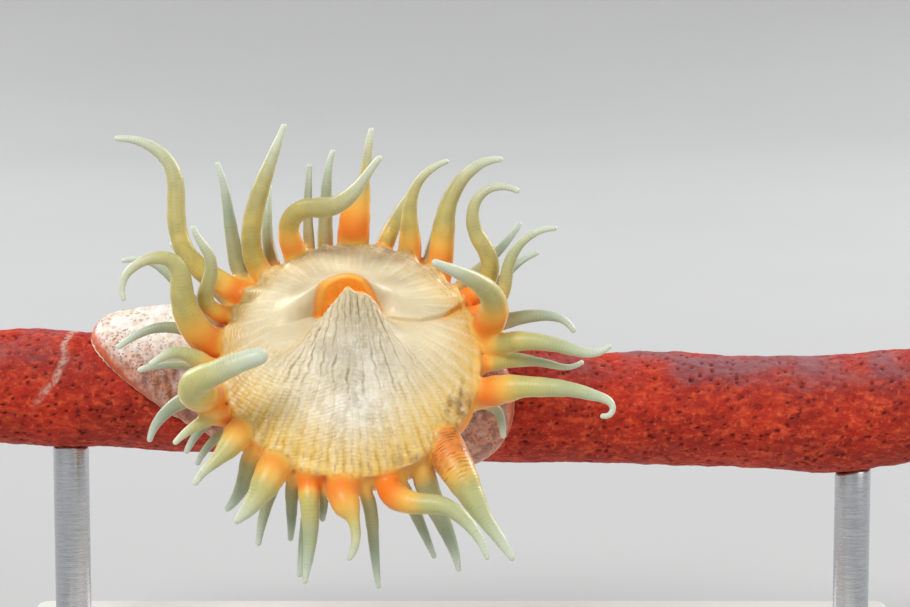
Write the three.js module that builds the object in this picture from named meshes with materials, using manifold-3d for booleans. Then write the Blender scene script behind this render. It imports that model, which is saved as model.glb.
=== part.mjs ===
// A small branch-living sea anemone at life size, with the cut length of branch that its foot clasps,
// held on a plain display stand. Millimetres, +Z up, origin at the middle of the base's underside.
//
// The animal is built in a frame of its own that faces the front: x to the right, y up and z out of the
// oral disc's side towards the front. That frame is turned up a little from level as it is placed.

import * as THREE from "three";
import { mergeVertices } from "three/addons/utils/BufferGeometryUtils.js";
import Module from "manifold-3d";

// ---------------------------------------------------------------- driving dimensions

const GAP = 0.3; // clear space left between pieces that touch

const BASE = { width: 76, depth: 40, height: 4, chamfer: 0.6 };
const ROD = { radius: 1.5, fromMiddle: 33, sides: 14 };

// The cut branch runs from side to side. It falls a little to the right and swells in slow waves.
const PERCH = { length: 80, radius: 4.8, behind: 5, height: 24.6, fall: 0.034, endRise: 1.2, chamfer: 0.5 };
const PERCH_WAVES = [
  { share: 0.025, perMm: 0.21, shift: 1 },
  { share: 0.015, perMm: 0.47, shift: 0 },
];

const FACING_UP = 8; // degrees that the animal's own front is turned up from level
const DISC_PLACE = new THREE.Vector3(-9, -7.5, 30.3); // middle of the oral disc

// The oral disc is a shallow dome, with the mouth on a cone above its middle.
const DISC = { tilt: 31, halfWidth: 10.5, halfHeight: 10.8, dome: 3, domePower: 2.2 };
const LIPS = {
  halfWidth: 2.75,
  up: 2.6,
  near: 1,
  far: 1.7,
  corner: 2.1,
  nearRise: 6.3,
  farRise: 4.1,
  power: 0.8,
};
const FLANK = { reach: 0.52, power: 1.6 }; // how far down the disc the mouth's cone runs
const THROAT = { inner: 0.72, lipDepth: 0.35, floor: 1.4, under: -0.3, seat: -0.8 };
const MOUTH_EDGE = 0.035; // share of the way from lip to margin where the mouth's own piece ends
const DISC_RINGS = [0.065, 0.22, 0.38, 0.55, 0.78, 1];
const DISC_UNDER = { share: 0.86, down: 1.6 };

// The margin rolls out and down from the disc's edge, then tucks in under it.
const MARGIN = { rollOut: 1.035, underIn: 0.95, underDown: 3, power: 1.3, rings: [0.12, 0.5, 0.8, 1] };

// The column leaves the margin along the disc's axis and flares out on to the foot.
const COLUMN = { down: 3.4, up: 2.2, flare: 0.8, rings: [0, 0.25, 0.5, 0.75, 1] };

// The foot wraps the branch. Angles go round the branch from the side that faces the front, and the
// foot's middle line turns from one at its left end to another at its right end.
const FOOT = {
  halfLength: 17.6,
  middle: -4.3,
  columnMiddle: -1,
  columnShare: 0.58,
  clear: 0.4,
  edge: 0.9,
  crown: 1.9,
  leftAngle: 60,
  rightAngle: 0,
  lowerSpan: [75, 112],
  upperSpan: 130,
  topRings: [0.3, 0.58, 0.78, 0.92, 1],
  underRings: [0.99, 0.8, 0.6, 0.4, 0.2],
};

const TIP = { radius: 0.26, lastRing: 0.7, point: 0.6 };
const NECK = { before: 0.06, after: 0.08 };
const ROOT_ROW = { large: { out: 1, down: 0.3 }, small: { out: 1.02, down: 1.8 } };
const ROOT_SINK = 0.8; // how far a tentacle's tube starts inside the margin before it is trimmed
const CUT_AT = 0.5; // where a large tentacle is parted into its root and tip lengths

const BODY_SIDES = 28;
const LARGE_MESH = { sides: 8, step: 1.6, fewest: 5 };
const SMALL_MESH = { sides: 6, step: 1.9, fewest: 3 };
const PERCH_MESH = { sides: 12, steps: 24 };

// The tentacles. clock: place of the root round the margin, in degrees from the right. out: share of the
// row's usual distance from the middle. long and thick: length and root thickness. head: the way it
// points across the front view, at even steps from root to tip, in degrees from the right,
// anticlockwise. lean: how far it points out towards the front, at even steps. full: how long it stays
// thick. neck: where it narrows suddenly, and to what share.
const LARGE_TENTACLES = [
  { clock: 8, long: 11.1, thick: 1.9, head: [5, 5, -3, -15, -8, 42], lean: [28, 10, 5], full: 1.8 },
  {
    clock: 16, long: 12.7, thick: 2.5, head: [20, 75, 130, 155, 158],
    lean: [45, 60, 40, 25], full: 1.2,
  },
  { clock: 25, long: 11, thick: 1.6, head: [5, 35, 82, 62, 32, 0], lean: [20, 10, 0], full: 1.5 },
  {
    clock: 33, long: 13.4, thick: 1.9, head: [25, 38, 92, 122, 98, 58, 8, -28],
    lean: [10, 5, 0], full: 1.7,
  },
  { clock: 49, long: 11.9, thick: 2.5, head: [75, 83, 80, 58, 35, 0], lean: [10, 5, 0], full: 1.1 },
  { clock: 64, long: 9.4, thick: 2.2, head: [82, 92, 78, 46, 18], lean: [15, 5, 0], full: 1.3 },
  { clock: 77, long: 6.3, thick: 1.7, head: [62, 64, 58], lean: [-25, -25, -20], full: 1.5 },
  {
    clock: 90, long: 10, thick: 2.7, head: [88, 80, 74, 84, 79], lean: [25, 10, 0], full: 1.6,
    neck: { at: 0.52, to: 0.55 },
  },
  {
    clock: 114, long: 15.2, thick: 2.3, head: [125, 103, 45, -2, 30, 54, 50], lean: [50, 35, 10],
    full: 1.5,
  },
  { clock: 131, long: 13.1, thick: 2.1, head: [138, 90, 74, 69, 70], lean: [20, 5, 0], full: 1.9 },
  {
    clock: 143, long: 18.8, thick: 2.3, head: [158, 150, 105, 92, 142, 182],
    lean: [-5, -5, 0], full: 1.8,
  },
  {
    clock: 155, long: 10.4, thick: 1.8, head: [182, 160, 75, 82, 122, 112],
    lean: [50, 30, 10], full: 1.6,
  },
  {
    clock: 168, long: 15.6, thick: 2.9, head: [190, 138, 104, 96, 180, 226, 290],
    lean: [45, 30, 10, 0], full: 1.15,
  },
  { clock: 182, long: 6.3, thick: 1.9, head: [190, 150, 165, 205, 216], lean: [30, 20, 10], full: 1.2 },
  {
    clock: 194, long: 12.8, thick: 2.2, head: [188, 185, 38, 24, 14], lean: [45, 78, 48, 15, 10],
    full: 2.2,
  },
  { clock: 205, long: 5.3, thick: 1.9, head: [200, 206, 215, 228], lean: [25, 15, 5], full: 1.1 },
  {
    clock: 214, out: 0.9, long: 7.4, thick: 2.5, head: [225, 238, 228, 223, 242],
    lean: [45, 25, 5], full: 1.3,
  },
  {
    clock: 236, out: 0.9, long: 7.3, thick: 2.7, head: [250, 245, 235, 221],
    lean: [35, 20, 5], full: 1.6,
  },
  { clock: 253, long: 8.7, thick: 1.9, head: [271, 273, 264, 261], lean: [0, -5, -5], full: 1.7 },
  {
    clock: 268, out: 0.94, long: 7.7, thick: 2.8, head: [268, 270, 300, 285, 262, 235],
    lean: [40, 20, -10], full: 2, neck: { at: 0.5, to: 0.5 },
  },
  {
    clock: 287, long: 11.6, thick: 2.2, head: [278, 328, 360, 326, 305, 288],
    lean: [25, 15, 5], full: 1.8,
  },
  { clock: 316, long: 11.1, thick: 3, head: [294, 299, 299, 307, 302], lean: [30, 15, 5], full: 1.4 },
  {
    clock: 347, long: 12.8, thick: 2.6, head: [2, 0, -1, -4, -15, -34, -200],
    lean: [20, 10, 0], full: 2,
  },
  { clock: 360, long: 8.7, thick: 1.5, head: [0, 0, -6, -12, 35], lean: [-30, -8, 5], full: 1.9 },
];

const SMALL_TENTACLES = [
  { clock: 19, long: 8.8, thick: 1.5, head: [22, 16, 8, -12, -62], lean: [-15, -5, 0] },
  { clock: 28, long: 8.2, thick: 1, head: [40, 48, 44, 20], lean: [-20, -15] },
  { clock: 40, long: 8.6, thick: 1.2, head: [44, 42, 48, 56], lean: [-20, -15] },
  { clock: 57, long: 4.6, thick: 1, head: [72, 79], lean: [-5] },
  { clock: 102, long: 8.8, thick: 1.4, head: [92, 89, 86, 72], lean: [0] },
  { clock: 109, long: 7.9, thick: 1, head: [95, 92, 88, 86], lean: [10, 0] },
  { clock: 125, long: 7.6, thick: 1.2, head: [115, 92, 86], lean: [-10] },
  { clock: 138, long: 11.2, thick: 1.5, head: [140, 104, 99, 100, 110], lean: [0] },
  { clock: 150, long: 8.3, thick: 1, head: [142, 136, 128], lean: [-20, -10] },
  { clock: 163, long: 11.2, thick: 1.2, head: [138, 132, 140, 195], lean: [-15, -10, 0] },
  { clock: 170, long: 9.3, thick: 1.2, head: [150, 153, 178, 205, 218], lean: [-10, 0, 5] },
  { clock: 180, long: 6.7, thick: 1.2, head: [163, 175, 186, 202], lean: [-15, -5, 0] },
  { clock: 191, long: 7.9, thick: 1.7, head: [178, 198, 212, 232, 258], lean: [-20, -15, -5] },
  { clock: 200, long: 5, thick: 1, head: [210, 228, 245], lean: [-20, -10] },
  { clock: 210, long: 4.6, thick: 0.9, head: [200, 225, 245], lean: [-25, -15] },
  { clock: 225, long: 5.5, thick: 1.8, head: [250, 251, 240, 225], lean: [-25, -20, -10] },
  { clock: 239, long: 6.2, thick: 1.2, head: [245, 254, 262], lean: [-15, -5] },
  { clock: 246, long: 5.8, thick: 1.2, head: [262, 268, 264], lean: [-35, -25] },
  { clock: 253, long: 8, thick: 0.9, head: [266, 262, 263, 266], lean: [-25, -15] },
  { clock: 260, long: 2.8, thick: 0.8, head: [268, 262], lean: [-20] },
  { clock: 277, long: 8.1, thick: 1.2, head: [290, 275, 275, 278], lean: [-15, -10, -5] },
  { clock: 292, long: 7.8, thick: 1.3, head: [298, 293, 292], lean: [-35, -20] },
  { clock: 303, long: 8.6, thick: 2, head: [285, 294, 292, 280], lean: [-10, -5, -5] },
  { clock: 343, long: 4.6, thick: 1, head: [375, 325, 282, 275], lean: [-40, -10] },
];
const SMALL_FULL = 1.4;

// The collar is parted where few small tentacles stand.
const COLLAR_PARTS = { right: [-48, 80], upper: [80, 131], left: [131, 218], lower: [218, 312] };

const COLOURS = {
  base: { color: 0xe6e2da, roughness: 0.5, metalness: 0 },
  rod: { color: 0xb9bbbd, roughness: 0.3, metalness: 1 },
  perch: { color: 0xb5382a, roughness: 0.8, metalness: 0 },
  foot: { color: 0xefd8cb, roughness: 0.5, metalness: 0 },
  column: { color: 0xd8b48c, roughness: 0.5, metalness: 0 },
  collar: { color: 0xc9c39a, roughness: 0.45, metalness: 0 },
  disc: { color: 0xe4dab4, roughness: 0.45, metalness: 0 },
  mouth: { color: 0xf77b1e, roughness: 0.4, metalness: 0 },
  tentacleRoot: { color: 0xe89a45, roughness: 0.4, metalness: 0 },
  tentacleTip: { color: 0xb4cdb8, roughness: 0.4, metalness: 0 },
};

// ---------------------------------------------------------------- small helpers

const { degToRad, lerp, clamp, smoothstep } = THREE.MathUtils;
const wasm = await Module();
wasm.setup();

const count = (n) => [...Array(n).keys()];
const turn = (n) => count(n).map((i) => (2 * Math.PI * i) / n);

// A smooth curve through values spaced evenly from 0 to 1.
function along(values, s) {
  const last = values.length - 1;
  const i = Math.min(Math.floor(s * last), Math.max(last - 1, 0));
  const f = s * last - i;
  const at = (k) => values[clamp(k, 0, last)];
  const slopeIn = (at(i + 1) - at(i - 1)) / 2;
  const slopeOut = (at(i + 2) - at(i)) / 2;
  const rise = at(i + 1) - at(i);
  const square = 3 * rise - 2 * slopeIn - slopeOut;
  const cube = slopeIn + slopeOut - 2 * rise;
  return at(i) + f * (slopeIn + f * (square + f * cube));
}

// A closed solid over a list of rings with equal numbers of points, closed on a point at each end.
function overRings(first, rings, last) {
  const sides = rings[0].length;
  const points = [first, ...rings.flat(), last];
  const faces = [];
  const ring = (j, i) => 1 + j * sides + (i % sides);
  for (const i of count(sides)) {
    faces.push(0, ring(0, i), ring(0, i + 1));
    for (const j of count(rings.length - 1)) {
      faces.push(ring(j, i), ring(j + 1, i), ring(j, i + 1));
      faces.push(ring(j, i + 1), ring(j + 1, i), ring(j + 1, i + 1));
    }
    faces.push(ring(rings.length - 1, i), points.length - 1, ring(rings.length - 1, i + 1));
  }
  const geometry = new THREE.BufferGeometry().setFromPoints(points);
  geometry.setIndex(faces);
  return facingOut(geometry);
}

// Turns a closed mesh's faces to point out of it.
function facingOut(geometry) {
  const place = geometry.attributes.position;
  const index = geometry.index.array;
  const corner = (k) => new THREE.Vector3().fromBufferAttribute(place, index[k]);
  let volume = 0;
  for (let k = 0; k < index.length; k += 3) {
    volume += corner(k).dot(corner(k + 1).cross(corner(k + 2)));
  }
  if (volume < 0) index.reverse();
  return geometry;
}

function middleOf(ring) {
  const sum = new THREE.Vector3();
  ring.forEach((p) => sum.add(p));
  return sum.divideScalar(ring.length);
}

function toSolid(geometry) {
  const bare = geometry.clone();
  bare.deleteAttribute("normal");
  bare.deleteAttribute("uv");
  const merged = mergeVertices(bare, 1e-4);
  return new wasm.Manifold(
    new wasm.Mesh({
      numProp: 3,
      vertProperties: merged.attributes.position.array,
      triVerts: new Uint32Array(merged.index.array),
    }),
  );
}

function toGeometry(solid) {
  const mesh = solid.getMesh();
  const geometry = new THREE.BufferGeometry();
  geometry.setAttribute("position", new THREE.BufferAttribute(mesh.vertProperties, 3));
  geometry.setIndex(new THREE.BufferAttribute(mesh.triVerts, 1));
  geometry.computeVertexNormals();
  return geometry;
}

// The largest piece of a solid that a cut has left in crumbs.
function largest(solid) {
  return solid.decompose().reduce((a, b) => (b.volume() > a.volume() ? b : a));
}

function named(name, geometry, look) {
  const mesh = new THREE.Mesh(geometry, new THREE.MeshStandardMaterial(look));
  mesh.name = name;
  return mesh;
}

// ---------------------------------------------------------------- the branch

function perchRadius(x) {
  const swell = PERCH_WAVES.reduce((sum, w) => sum + w.share * Math.sin(w.perMm * x + w.shift), 1);
  return PERCH.radius * swell;
}

// The height of the branch's middle line, which turns up near its right end.
function perchHeight(x) {
  const turned = smoothstep(x, PERCH.length / 2 - PERCH.radius * 2, PERCH.length / 2);
  return PERCH.height - PERCH.fall * x + PERCH.endRise * turned;
}

function perchGeometry(grow) {
  const half = PERCH.length / 2 + grow;
  const rings = count(PERCH_MESH.steps).map((j) => {
    const x = lerp(-half, half, j / (PERCH_MESH.steps - 1));
    const atEnd = j === 0 || j === PERCH_MESH.steps - 1;
    const r = perchRadius(x) + grow - (atEnd ? PERCH.chamfer : 0);
    return turn(PERCH_MESH.sides).map(
      (a) => new THREE.Vector3(x, PERCH.behind + r * Math.cos(a), perchHeight(x) + r * Math.sin(a)),
    );
  });
  return overRings(middleOf(rings[0]), rings, middleOf(rings.at(-1)));
}

// ---------------------------------------------------------------- the display stand

function baseGeometry() {
  const c = BASE.chamfer;
  const corners = (inset) => [
    [-BASE.width / 2 + inset, -BASE.depth / 2 + inset],
    [BASE.width / 2 - inset, -BASE.depth / 2 + inset],
    [BASE.width / 2 - inset, BASE.depth / 2 - inset],
    [-BASE.width / 2 + inset, BASE.depth / 2 - inset],
  ];
  const level = (inset, z) => corners(inset).map(([x, y]) => new THREE.Vector3(x, y, z));
  const rings = [level(0, 0), level(0, BASE.height - c), level(c, BASE.height)];
  return overRings(middleOf(rings[0]), rings, middleOf(rings.at(-1)));
}

// A rod from the base up to the branch, its top hollowed to fit the branch's underside.
function rodGeometry(x, perchCutter) {
  const foot = BASE.height + GAP;
  const rod = new THREE.CylinderGeometry(ROD.radius, ROD.radius, PERCH.height - foot, ROD.sides);
  rod.rotateX(Math.PI / 2);
  rod.translate(x, PERCH.behind, (PERCH.height + foot) / 2);
  return toGeometry(largest(toSolid(rod).subtract(perchCutter)));
}

// ---------------------------------------------------------------- the animal's frame

const animal = new THREE.Group();
animal.position.copy(DISC_PLACE);
animal.rotation.x = degToRad(90 - FACING_UP);
animal.updateMatrixWorld(true);
const toAnimal = animal.matrixWorld.clone().invert();

// A point of the oral disc: across it, up it, and out along its axis.
function discPoint(across, up, out) {
  const t = degToRad(DISC.tilt);
  return new THREE.Vector3(
    across,
    up * Math.cos(t) + out * Math.sin(t),
    out * Math.cos(t) - up * Math.sin(t),
  );
}

const domeHeight = (across, up) =>
  DISC.dome * (1 - Math.hypot(across / DISC.halfWidth, up / DISC.halfHeight) ** DISC.domePower);

// ---------------------------------------------------------------- mouth and oral disc

// The crest of the lips. They dip at the mouth's two corners, and the near lip stands highest.
function lipCrest(angle) {
  const s = Math.sin(angle);
  return {
    across: LIPS.halfWidth * Math.cos(angle),
    up: LIPS.up + (s < 0 ? LIPS.near : LIPS.far) * s,
    out: LIPS.corner + (s < 0 ? LIPS.nearRise : LIPS.farRise) * Math.abs(s) ** LIPS.power,
  };
}

// The upper face from the lips (share 0) to the margin (share 1).
function discFace(angle, share) {
  const lip = lipCrest(angle);
  const across = lerp(lip.across, DISC.halfWidth * Math.cos(angle), share);
  const up = lerp(lip.up, DISC.halfHeight * Math.sin(angle), share);
  const cone = Math.max(0, 1 - share / FLANK.reach) ** FLANK.power;
  const out = domeHeight(across, up) + (lip.out - domeHeight(lip.across, lip.up)) * cone;
  return discPoint(across, up, out);
}

const faceRing = (share) => turn(BODY_SIDES).map((a) => discFace(a, share));

function mouthGeometry() {
  const insideLip = turn(BODY_SIDES).map((a) => {
    const lip = lipCrest(a);
    return discPoint(
      THROAT.inner * lip.across,
      LIPS.up + THROAT.inner * (lip.up - LIPS.up),
      lip.out - THROAT.lipDepth,
    );
  });
  const rings = [insideLip, faceRing(0), faceRing(MOUTH_EDGE)];
  return overRings(discPoint(0, LIPS.up, THROAT.floor), rings, discPoint(0, LIPS.up, THROAT.under));
}

// A flat ring under the oral disc, a share of its width, at a depth along its axis.
const flatRing = (share, down) =>
  turn(BODY_SIDES).map((a) =>
    discPoint(DISC.halfWidth * share * Math.cos(a), DISC.halfHeight * share * Math.sin(a), -down),
  );

function discGeometry() {
  const rings = [...DISC_RINGS.map(faceRing), flatRing(DISC_UNDER.share, DISC_UNDER.down)];
  return overRings(discPoint(0, LIPS.up, THROAT.seat), rings, discPoint(0, 0, -DISC_UNDER.down));
}

// ---------------------------------------------------------------- collar and column

// The margin from the disc's edge (share 0) to where the column leaves it (share 1).
function marginPoint(angle, share) {
  const out = share < 0.5 ? MARGIN.rollOut : lerp(MARGIN.rollOut, MARGIN.underIn, 2 * share - 1);
  const wide = lerp(1, out, Math.sin(Math.min(share, 0.5) * Math.PI));
  const down = MARGIN.underDown * share ** MARGIN.power;
  return discPoint(DISC.halfWidth * wide * Math.cos(angle), DISC.halfHeight * wide * Math.sin(angle), -down);
}

const marginRing = (share) => turn(BODY_SIDES).map((a) => marginPoint(a, share));

function wholeCollar() {
  const top = DISC_UNDER.down + GAP;
  const rings = [flatRing(DISC_UNDER.share, top), ...MARGIN.rings.map(marginRing)];
  return toSolid(overRings(discPoint(0, 0, -top), rings, discPoint(0, 0, -MARGIN.underDown)));
}

// A block as wide as a range of clock angles, to cut one part of the collar out with.
function sectorBlock([from, to]) {
  const half = degToRad(to - from) / 2;
  const middle = degToRad((from + to) / 2);
  const reach = 3 * DISC.halfWidth;
  const shift = GAP / 2 / Math.sin(half);
  const arc = count(5).map((i) => middle + half * (i / 2 - 1));
  const outline = [[0, 0], ...arc.map((a) => [reach * Math.cos(a), reach * Math.sin(a)])];
  const level = (out) =>
    outline.map(([x, y]) => discPoint(x + shift * Math.cos(middle), y + shift * Math.sin(middle), out));
  const rings = [level(reach), level(-reach)];
  return toSolid(overRings(middleOf(rings[0]), rings, middleOf(rings[1])));
}

// A point of the foot: share 0 in its middle, 1 at its edge, lifted off the branch's surface.
function footPoint(angle, share, lift) {
  const middle = lerp(FOOT.columnMiddle, FOOT.middle, share);
  const x = middle + share * FOOT.halfLength * Math.cos(angle);
  const fromLeft = clamp((x - FOOT.middle + FOOT.halfLength) / (2 * FOOT.halfLength), 0, 1);
  const s = Math.sin(angle);
  const span = s < 0 ? lerp(...FOOT.lowerSpan, fromLeft) : FOOT.upperSpan;
  const round = degToRad(lerp(FOOT.leftAngle, FOOT.rightAngle, fromLeft) + share * span * s);
  const worldX = x + DISC_PLACE.x;
  const axis = new THREE.Vector3(worldX, PERCH.behind, perchHeight(worldX)).applyMatrix4(toAnimal);
  const r = perchRadius(worldX) + lift;
  return axis.add(new THREE.Vector3(0, r * Math.sin(round), r * Math.cos(round)));
}

const footLift = (share) => FOOT.clear + FOOT.edge + FOOT.crown * Math.sqrt(1 - share * share);
const footRing = (share, lift) => turn(BODY_SIDES).map((a) => footPoint(a, share, lift));

function footGeometry() {
  const top = FOOT.topRings.map((q) => footRing(q, footLift(q)));
  const under = FOOT.underRings.map((q) => footRing(q, FOOT.clear));
  return overRings(footPoint(0, 0, footLift(0)), [...top, ...under], footPoint(0, 0, FOOT.clear));
}

// The column's side from the margin (share 0) to the foot (share 1).
function columnPoint(angle, share) {
  const top = marginPoint(angle, 1).add(discPoint(0, 0, -GAP));
  const topPull = top.clone().add(discPoint(0, 0, -COLUMN.down));
  const bottom = footPoint(angle, FOOT.columnShare, footLift(FOOT.columnShare) + GAP);
  const nearer = FOOT.columnShare * COLUMN.flare;
  const bottomPull = footPoint(angle, nearer, footLift(FOOT.columnShare) + COLUMN.up);
  return new THREE.CubicBezierCurve3(top, topPull, bottomPull, bottom).getPoint(share);
}

const columnRing = (share) => turn(BODY_SIDES).map((a) => columnPoint(a, share));

function columnGeometry() {
  const covered = FOOT.topRings[0];
  const rings = [...COLUMN.rings.map(columnRing), footRing(covered, footLift(covered) + GAP)];
  const top = discPoint(0, 0, -MARGIN.underDown - GAP);
  return overRings(top, rings, footPoint(0, 0, footLift(0) + GAP));
}

// ---------------------------------------------------------------- tentacles

// The middle line of a tentacle, walked from its root by its headings and leans.
function tentacleLine({ clock, out = 1, long, head, lean }, row, steps) {
  const a = degToRad(clock);
  const root = discPoint(
    DISC.halfWidth * row.out * out * Math.cos(a),
    DISC.halfHeight * row.out * out * Math.sin(a),
    -row.down,
  );
  const fine = 12; // short walks in each step
  const way = (s) => {
    const across = degToRad(along(head, s));
    const raised = degToRad(along(lean, s));
    const level = Math.cos(raised);
    return new THREE.Vector3(level * Math.cos(across), level * Math.sin(across), Math.sin(raised));
  };
  const line = [{ at: root.clone(), way: way(0) }];
  const place = root.clone();
  for (const j of count(steps)) {
    for (const k of count(fine)) {
      place.addScaledVector(way((j + (k + 0.5) / fine) / steps), long / (steps * fine));
    }
    line.push({ at: place.clone(), way: way((j + 1) / steps) });
  }
  line[0].at.addScaledVector(line[0].way, -ROOT_SINK);
  return line;
}

function tentacleRadius({ thick, full = SMALL_FULL, neck }, s) {
  const taper = lerp(thick / 2, TIP.radius, s ** full);
  const narrowed = neck ? lerp(1, neck.to, smoothstep(s, neck.at - NECK.before, neck.at + NECK.after)) : 1;
  return Math.max(taper * narrowed, TIP.radius);
}

const stepsOf = (shape, mesh) => Math.max(mesh.fewest, Math.round(shape.long / mesh.step));

// The rings of a tentacle's tube, turned along its line without twisting.
function tentacleRings(shape, row, mesh, grow) {
  const steps = stepsOf(shape, mesh);
  const line = tentacleLine(shape, row, steps);
  const side = new THREE.Vector3(0, 0, 1);
  return line.map(({ at, way }, j) => {
    side.addScaledVector(way, -side.dot(way)).normalize();
    const up = new THREE.Vector3().crossVectors(way, side);
    const r = (tentacleRadius(shape, j / steps) + grow) * (j === steps ? TIP.lastRing : 1);
    return turn(mesh.sides).map((a) =>
      at.clone().addScaledVector(side, r * Math.cos(a)).addScaledVector(up, r * Math.sin(a)),
    );
  });
}

function tubeOver(rings, pointed) {
  const end = middleOf(rings.at(-1));
  if (pointed) end.add(end.clone().sub(middleOf(rings.at(-2))).setLength(TIP.radius * TIP.point));
  return toSolid(overRings(middleOf(rings[0]), rings, end));
}

const wholeTube = (shape, row, mesh, grow) => tubeOver(tentacleRings(shape, row, mesh, grow), true);

// A large tentacle's two lengths, parted by a thin cut across it.
function twoLengths(shape) {
  const rings = tentacleRings(shape, ROOT_ROW.large, LARGE_MESH, 0);
  const steps = rings.length - 1;
  const cut = Math.round(CUT_AT * steps);
  const share = (GAP * steps) / shape.long;
  const nextRing = rings[cut].map((p, i) => p.clone().lerp(rings[cut + 1][i], share));
  return {
    root: tubeOver(rings.slice(0, cut + 1), false),
    tip: tubeOver([nextRing, ...rings.slice(cut + 1)], true),
  };
}

// ---------------------------------------------------------------- putting the animal together

// The whole body a little swollen, used to trim what stands on it.
function swollenBody() {
  const grown = 1 + GAP / DISC.halfWidth;
  const face = DISC_RINGS.slice(1).map((t) => faceRing(t).map((p) => p.add(discPoint(0, 0, GAP))));
  const column = COLUMN.rings.slice(1, -1).map(columnRing);
  const wide = [...MARGIN.rings.map(marginRing), ...column].map((ring) => {
    const middle = middleOf(ring);
    return ring.map((p) => p.sub(middle).multiplyScalar(grown).add(middle));
  });
  const rings = [...face, ...wide];
  return toSolid(overRings(middleOf(rings[0]), rings, middleOf(rings.at(-1))));
}

function addTentaclesAndCollar(group) {
  const placed = [];
  const clearOf = (solid) => placed.reduce((left, other) => left.subtract(other), solid);

  const collar = {};
  for (const [name, span] of Object.entries(COLLAR_PARTS)) {
    collar[name] = wholeCollar().intersect(sectorBlock(span));
  }

  const body = swollenBody();
  LARGE_TENTACLES.forEach((shape, i) => {
    const { root, tip } = twoLengths(shape);
    const trimmed = { root: clearOf(root.subtract(body)), tip: clearOf(tip) };
    placed.push(wholeTube(shape, ROOT_ROW.large, LARGE_MESH, GAP));
    const number = String(i + 1).padStart(2, "0");
    group.add(named(`tentacle_${number}_root`, toGeometry(largest(trimmed.root)), COLOURS.tentacleRoot));
    group.add(named(`tentacle_${number}_tip`, toGeometry(largest(trimmed.tip)), COLOURS.tentacleTip));
  });

  const partOf = (clock) =>
    Object.keys(COLLAR_PARTS).find((name) => {
      const [from, to] = COLLAR_PARTS[name];
      return (clock >= from && clock < to) || (clock - 360 >= from && clock - 360 < to);
    });
  for (const shape of SMALL_TENTACLES) {
    const name = partOf(shape.clock);
    const tube = clearOf(wholeTube(shape, ROOT_ROW.small, SMALL_MESH, 0));
    collar[name] = collar[name].add(tube);
    placed.push(wholeTube(shape, ROOT_ROW.small, SMALL_MESH, GAP));
  }
  for (const [name, solid] of Object.entries(collar)) {
    group.add(named(`collar_${name}`, toGeometry(largest(solid)), COLOURS.collar));
  }
}

// ---------------------------------------------------------------- assembly

const perchCutter = toSolid(perchGeometry(GAP));
const model = new THREE.Group();
model.add(named("stand_base", baseGeometry(), COLOURS.base));
model.add(named("stand_rod_left", rodGeometry(-ROD.fromMiddle, perchCutter), COLOURS.rod));
model.add(named("stand_rod_right", rodGeometry(ROD.fromMiddle, perchCutter), COLOURS.rod));
model.add(named("perch_branch", perchGeometry(0), COLOURS.perch));

animal.add(named("foot", footGeometry(), COLOURS.foot));
animal.add(named("column", columnGeometry(), COLOURS.column));
animal.add(named("oral_disc", discGeometry(), COLOURS.disc));
animal.add(named("mouth", mouthGeometry(), COLOURS.mouth));
addTentaclesAndCollar(animal);
model.add(animal);

export default model;
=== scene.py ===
"""A small branch-living sea anemone, its cut branch and its display stand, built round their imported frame."""

import math

import bmesh
import bpy
import numpy as np
from mathutils import Matrix, Vector
from mathutils.kdtree import KDTree


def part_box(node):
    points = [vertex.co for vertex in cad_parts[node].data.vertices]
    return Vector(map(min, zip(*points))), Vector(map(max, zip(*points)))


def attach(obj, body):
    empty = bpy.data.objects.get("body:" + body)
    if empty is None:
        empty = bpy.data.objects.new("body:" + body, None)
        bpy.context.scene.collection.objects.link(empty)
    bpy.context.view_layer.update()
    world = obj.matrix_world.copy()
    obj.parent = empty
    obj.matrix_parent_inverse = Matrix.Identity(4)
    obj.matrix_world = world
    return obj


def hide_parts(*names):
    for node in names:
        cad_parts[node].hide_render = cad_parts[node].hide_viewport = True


bl_info = {
    "name": "Branch Anemone",
    "version": (1, 0, 0),
    "blender": (4, 5, 0),
    "location": "View3D > Sidebar > Anemone",
    "description": "A small sea anemone wrapped round a cut branch, on a plain display stand",
    "category": "Add Mesh",
}

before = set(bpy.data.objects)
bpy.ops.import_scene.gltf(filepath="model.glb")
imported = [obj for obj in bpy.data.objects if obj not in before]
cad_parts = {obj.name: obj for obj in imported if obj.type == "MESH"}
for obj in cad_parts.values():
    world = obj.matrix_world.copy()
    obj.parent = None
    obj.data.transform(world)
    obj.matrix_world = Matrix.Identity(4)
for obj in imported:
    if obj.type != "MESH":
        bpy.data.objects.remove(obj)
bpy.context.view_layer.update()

MM = 0.001

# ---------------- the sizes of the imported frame, in mm

FACING_UP = 8
ROW_TURN = math.radians(90 - FACING_UP)
DISC_PLACE = np.array([-9, -7.5, 30.3])
DISC_TILT = 31
DISC_WIDE, DISC_HIGH, DISC_DOME, DISC_POWER = 10.5, 10.8, 3.0, 2.2
LIP_WIDE, LIP_UP, LIP_CORNER = 2.75, 2.6, 2.1
LIP_NEAR, LIP_FAR, NEAR_RISE, FAR_RISE = 1.0, 1.7, 6.3, 4.1
LIP_BULGE, LIP_SHARE, LIP_INWARD, LIP_DROP, THROAT_POWER, THROAT_FLOOR = 0.08, 0.12, 0.28, 0.35, 2.4, 3.4
FLANK_REACH, FLANK_POWER = 0.52, 1.6
MARGIN_OUT, MARGIN_IN, MARGIN_DOWN, MARGIN_POWER = 1.035, 0.95, 3.0, 1.3
COLUMN_DOWN, COLUMN_UP, COLUMN_FLARE, COLUMN_SHARE = 3.4, 2.2, 0.8, 0.58
FOOT_HALF, FOOT_MIDDLE, FOOT_COLUMN = 17.6, -4.3, -1.0
FOOT_LEFT, FOOT_RIGHT, FOOT_LOWER, FOOT_UPPER = 60, 0, (75, 112), 130
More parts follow.
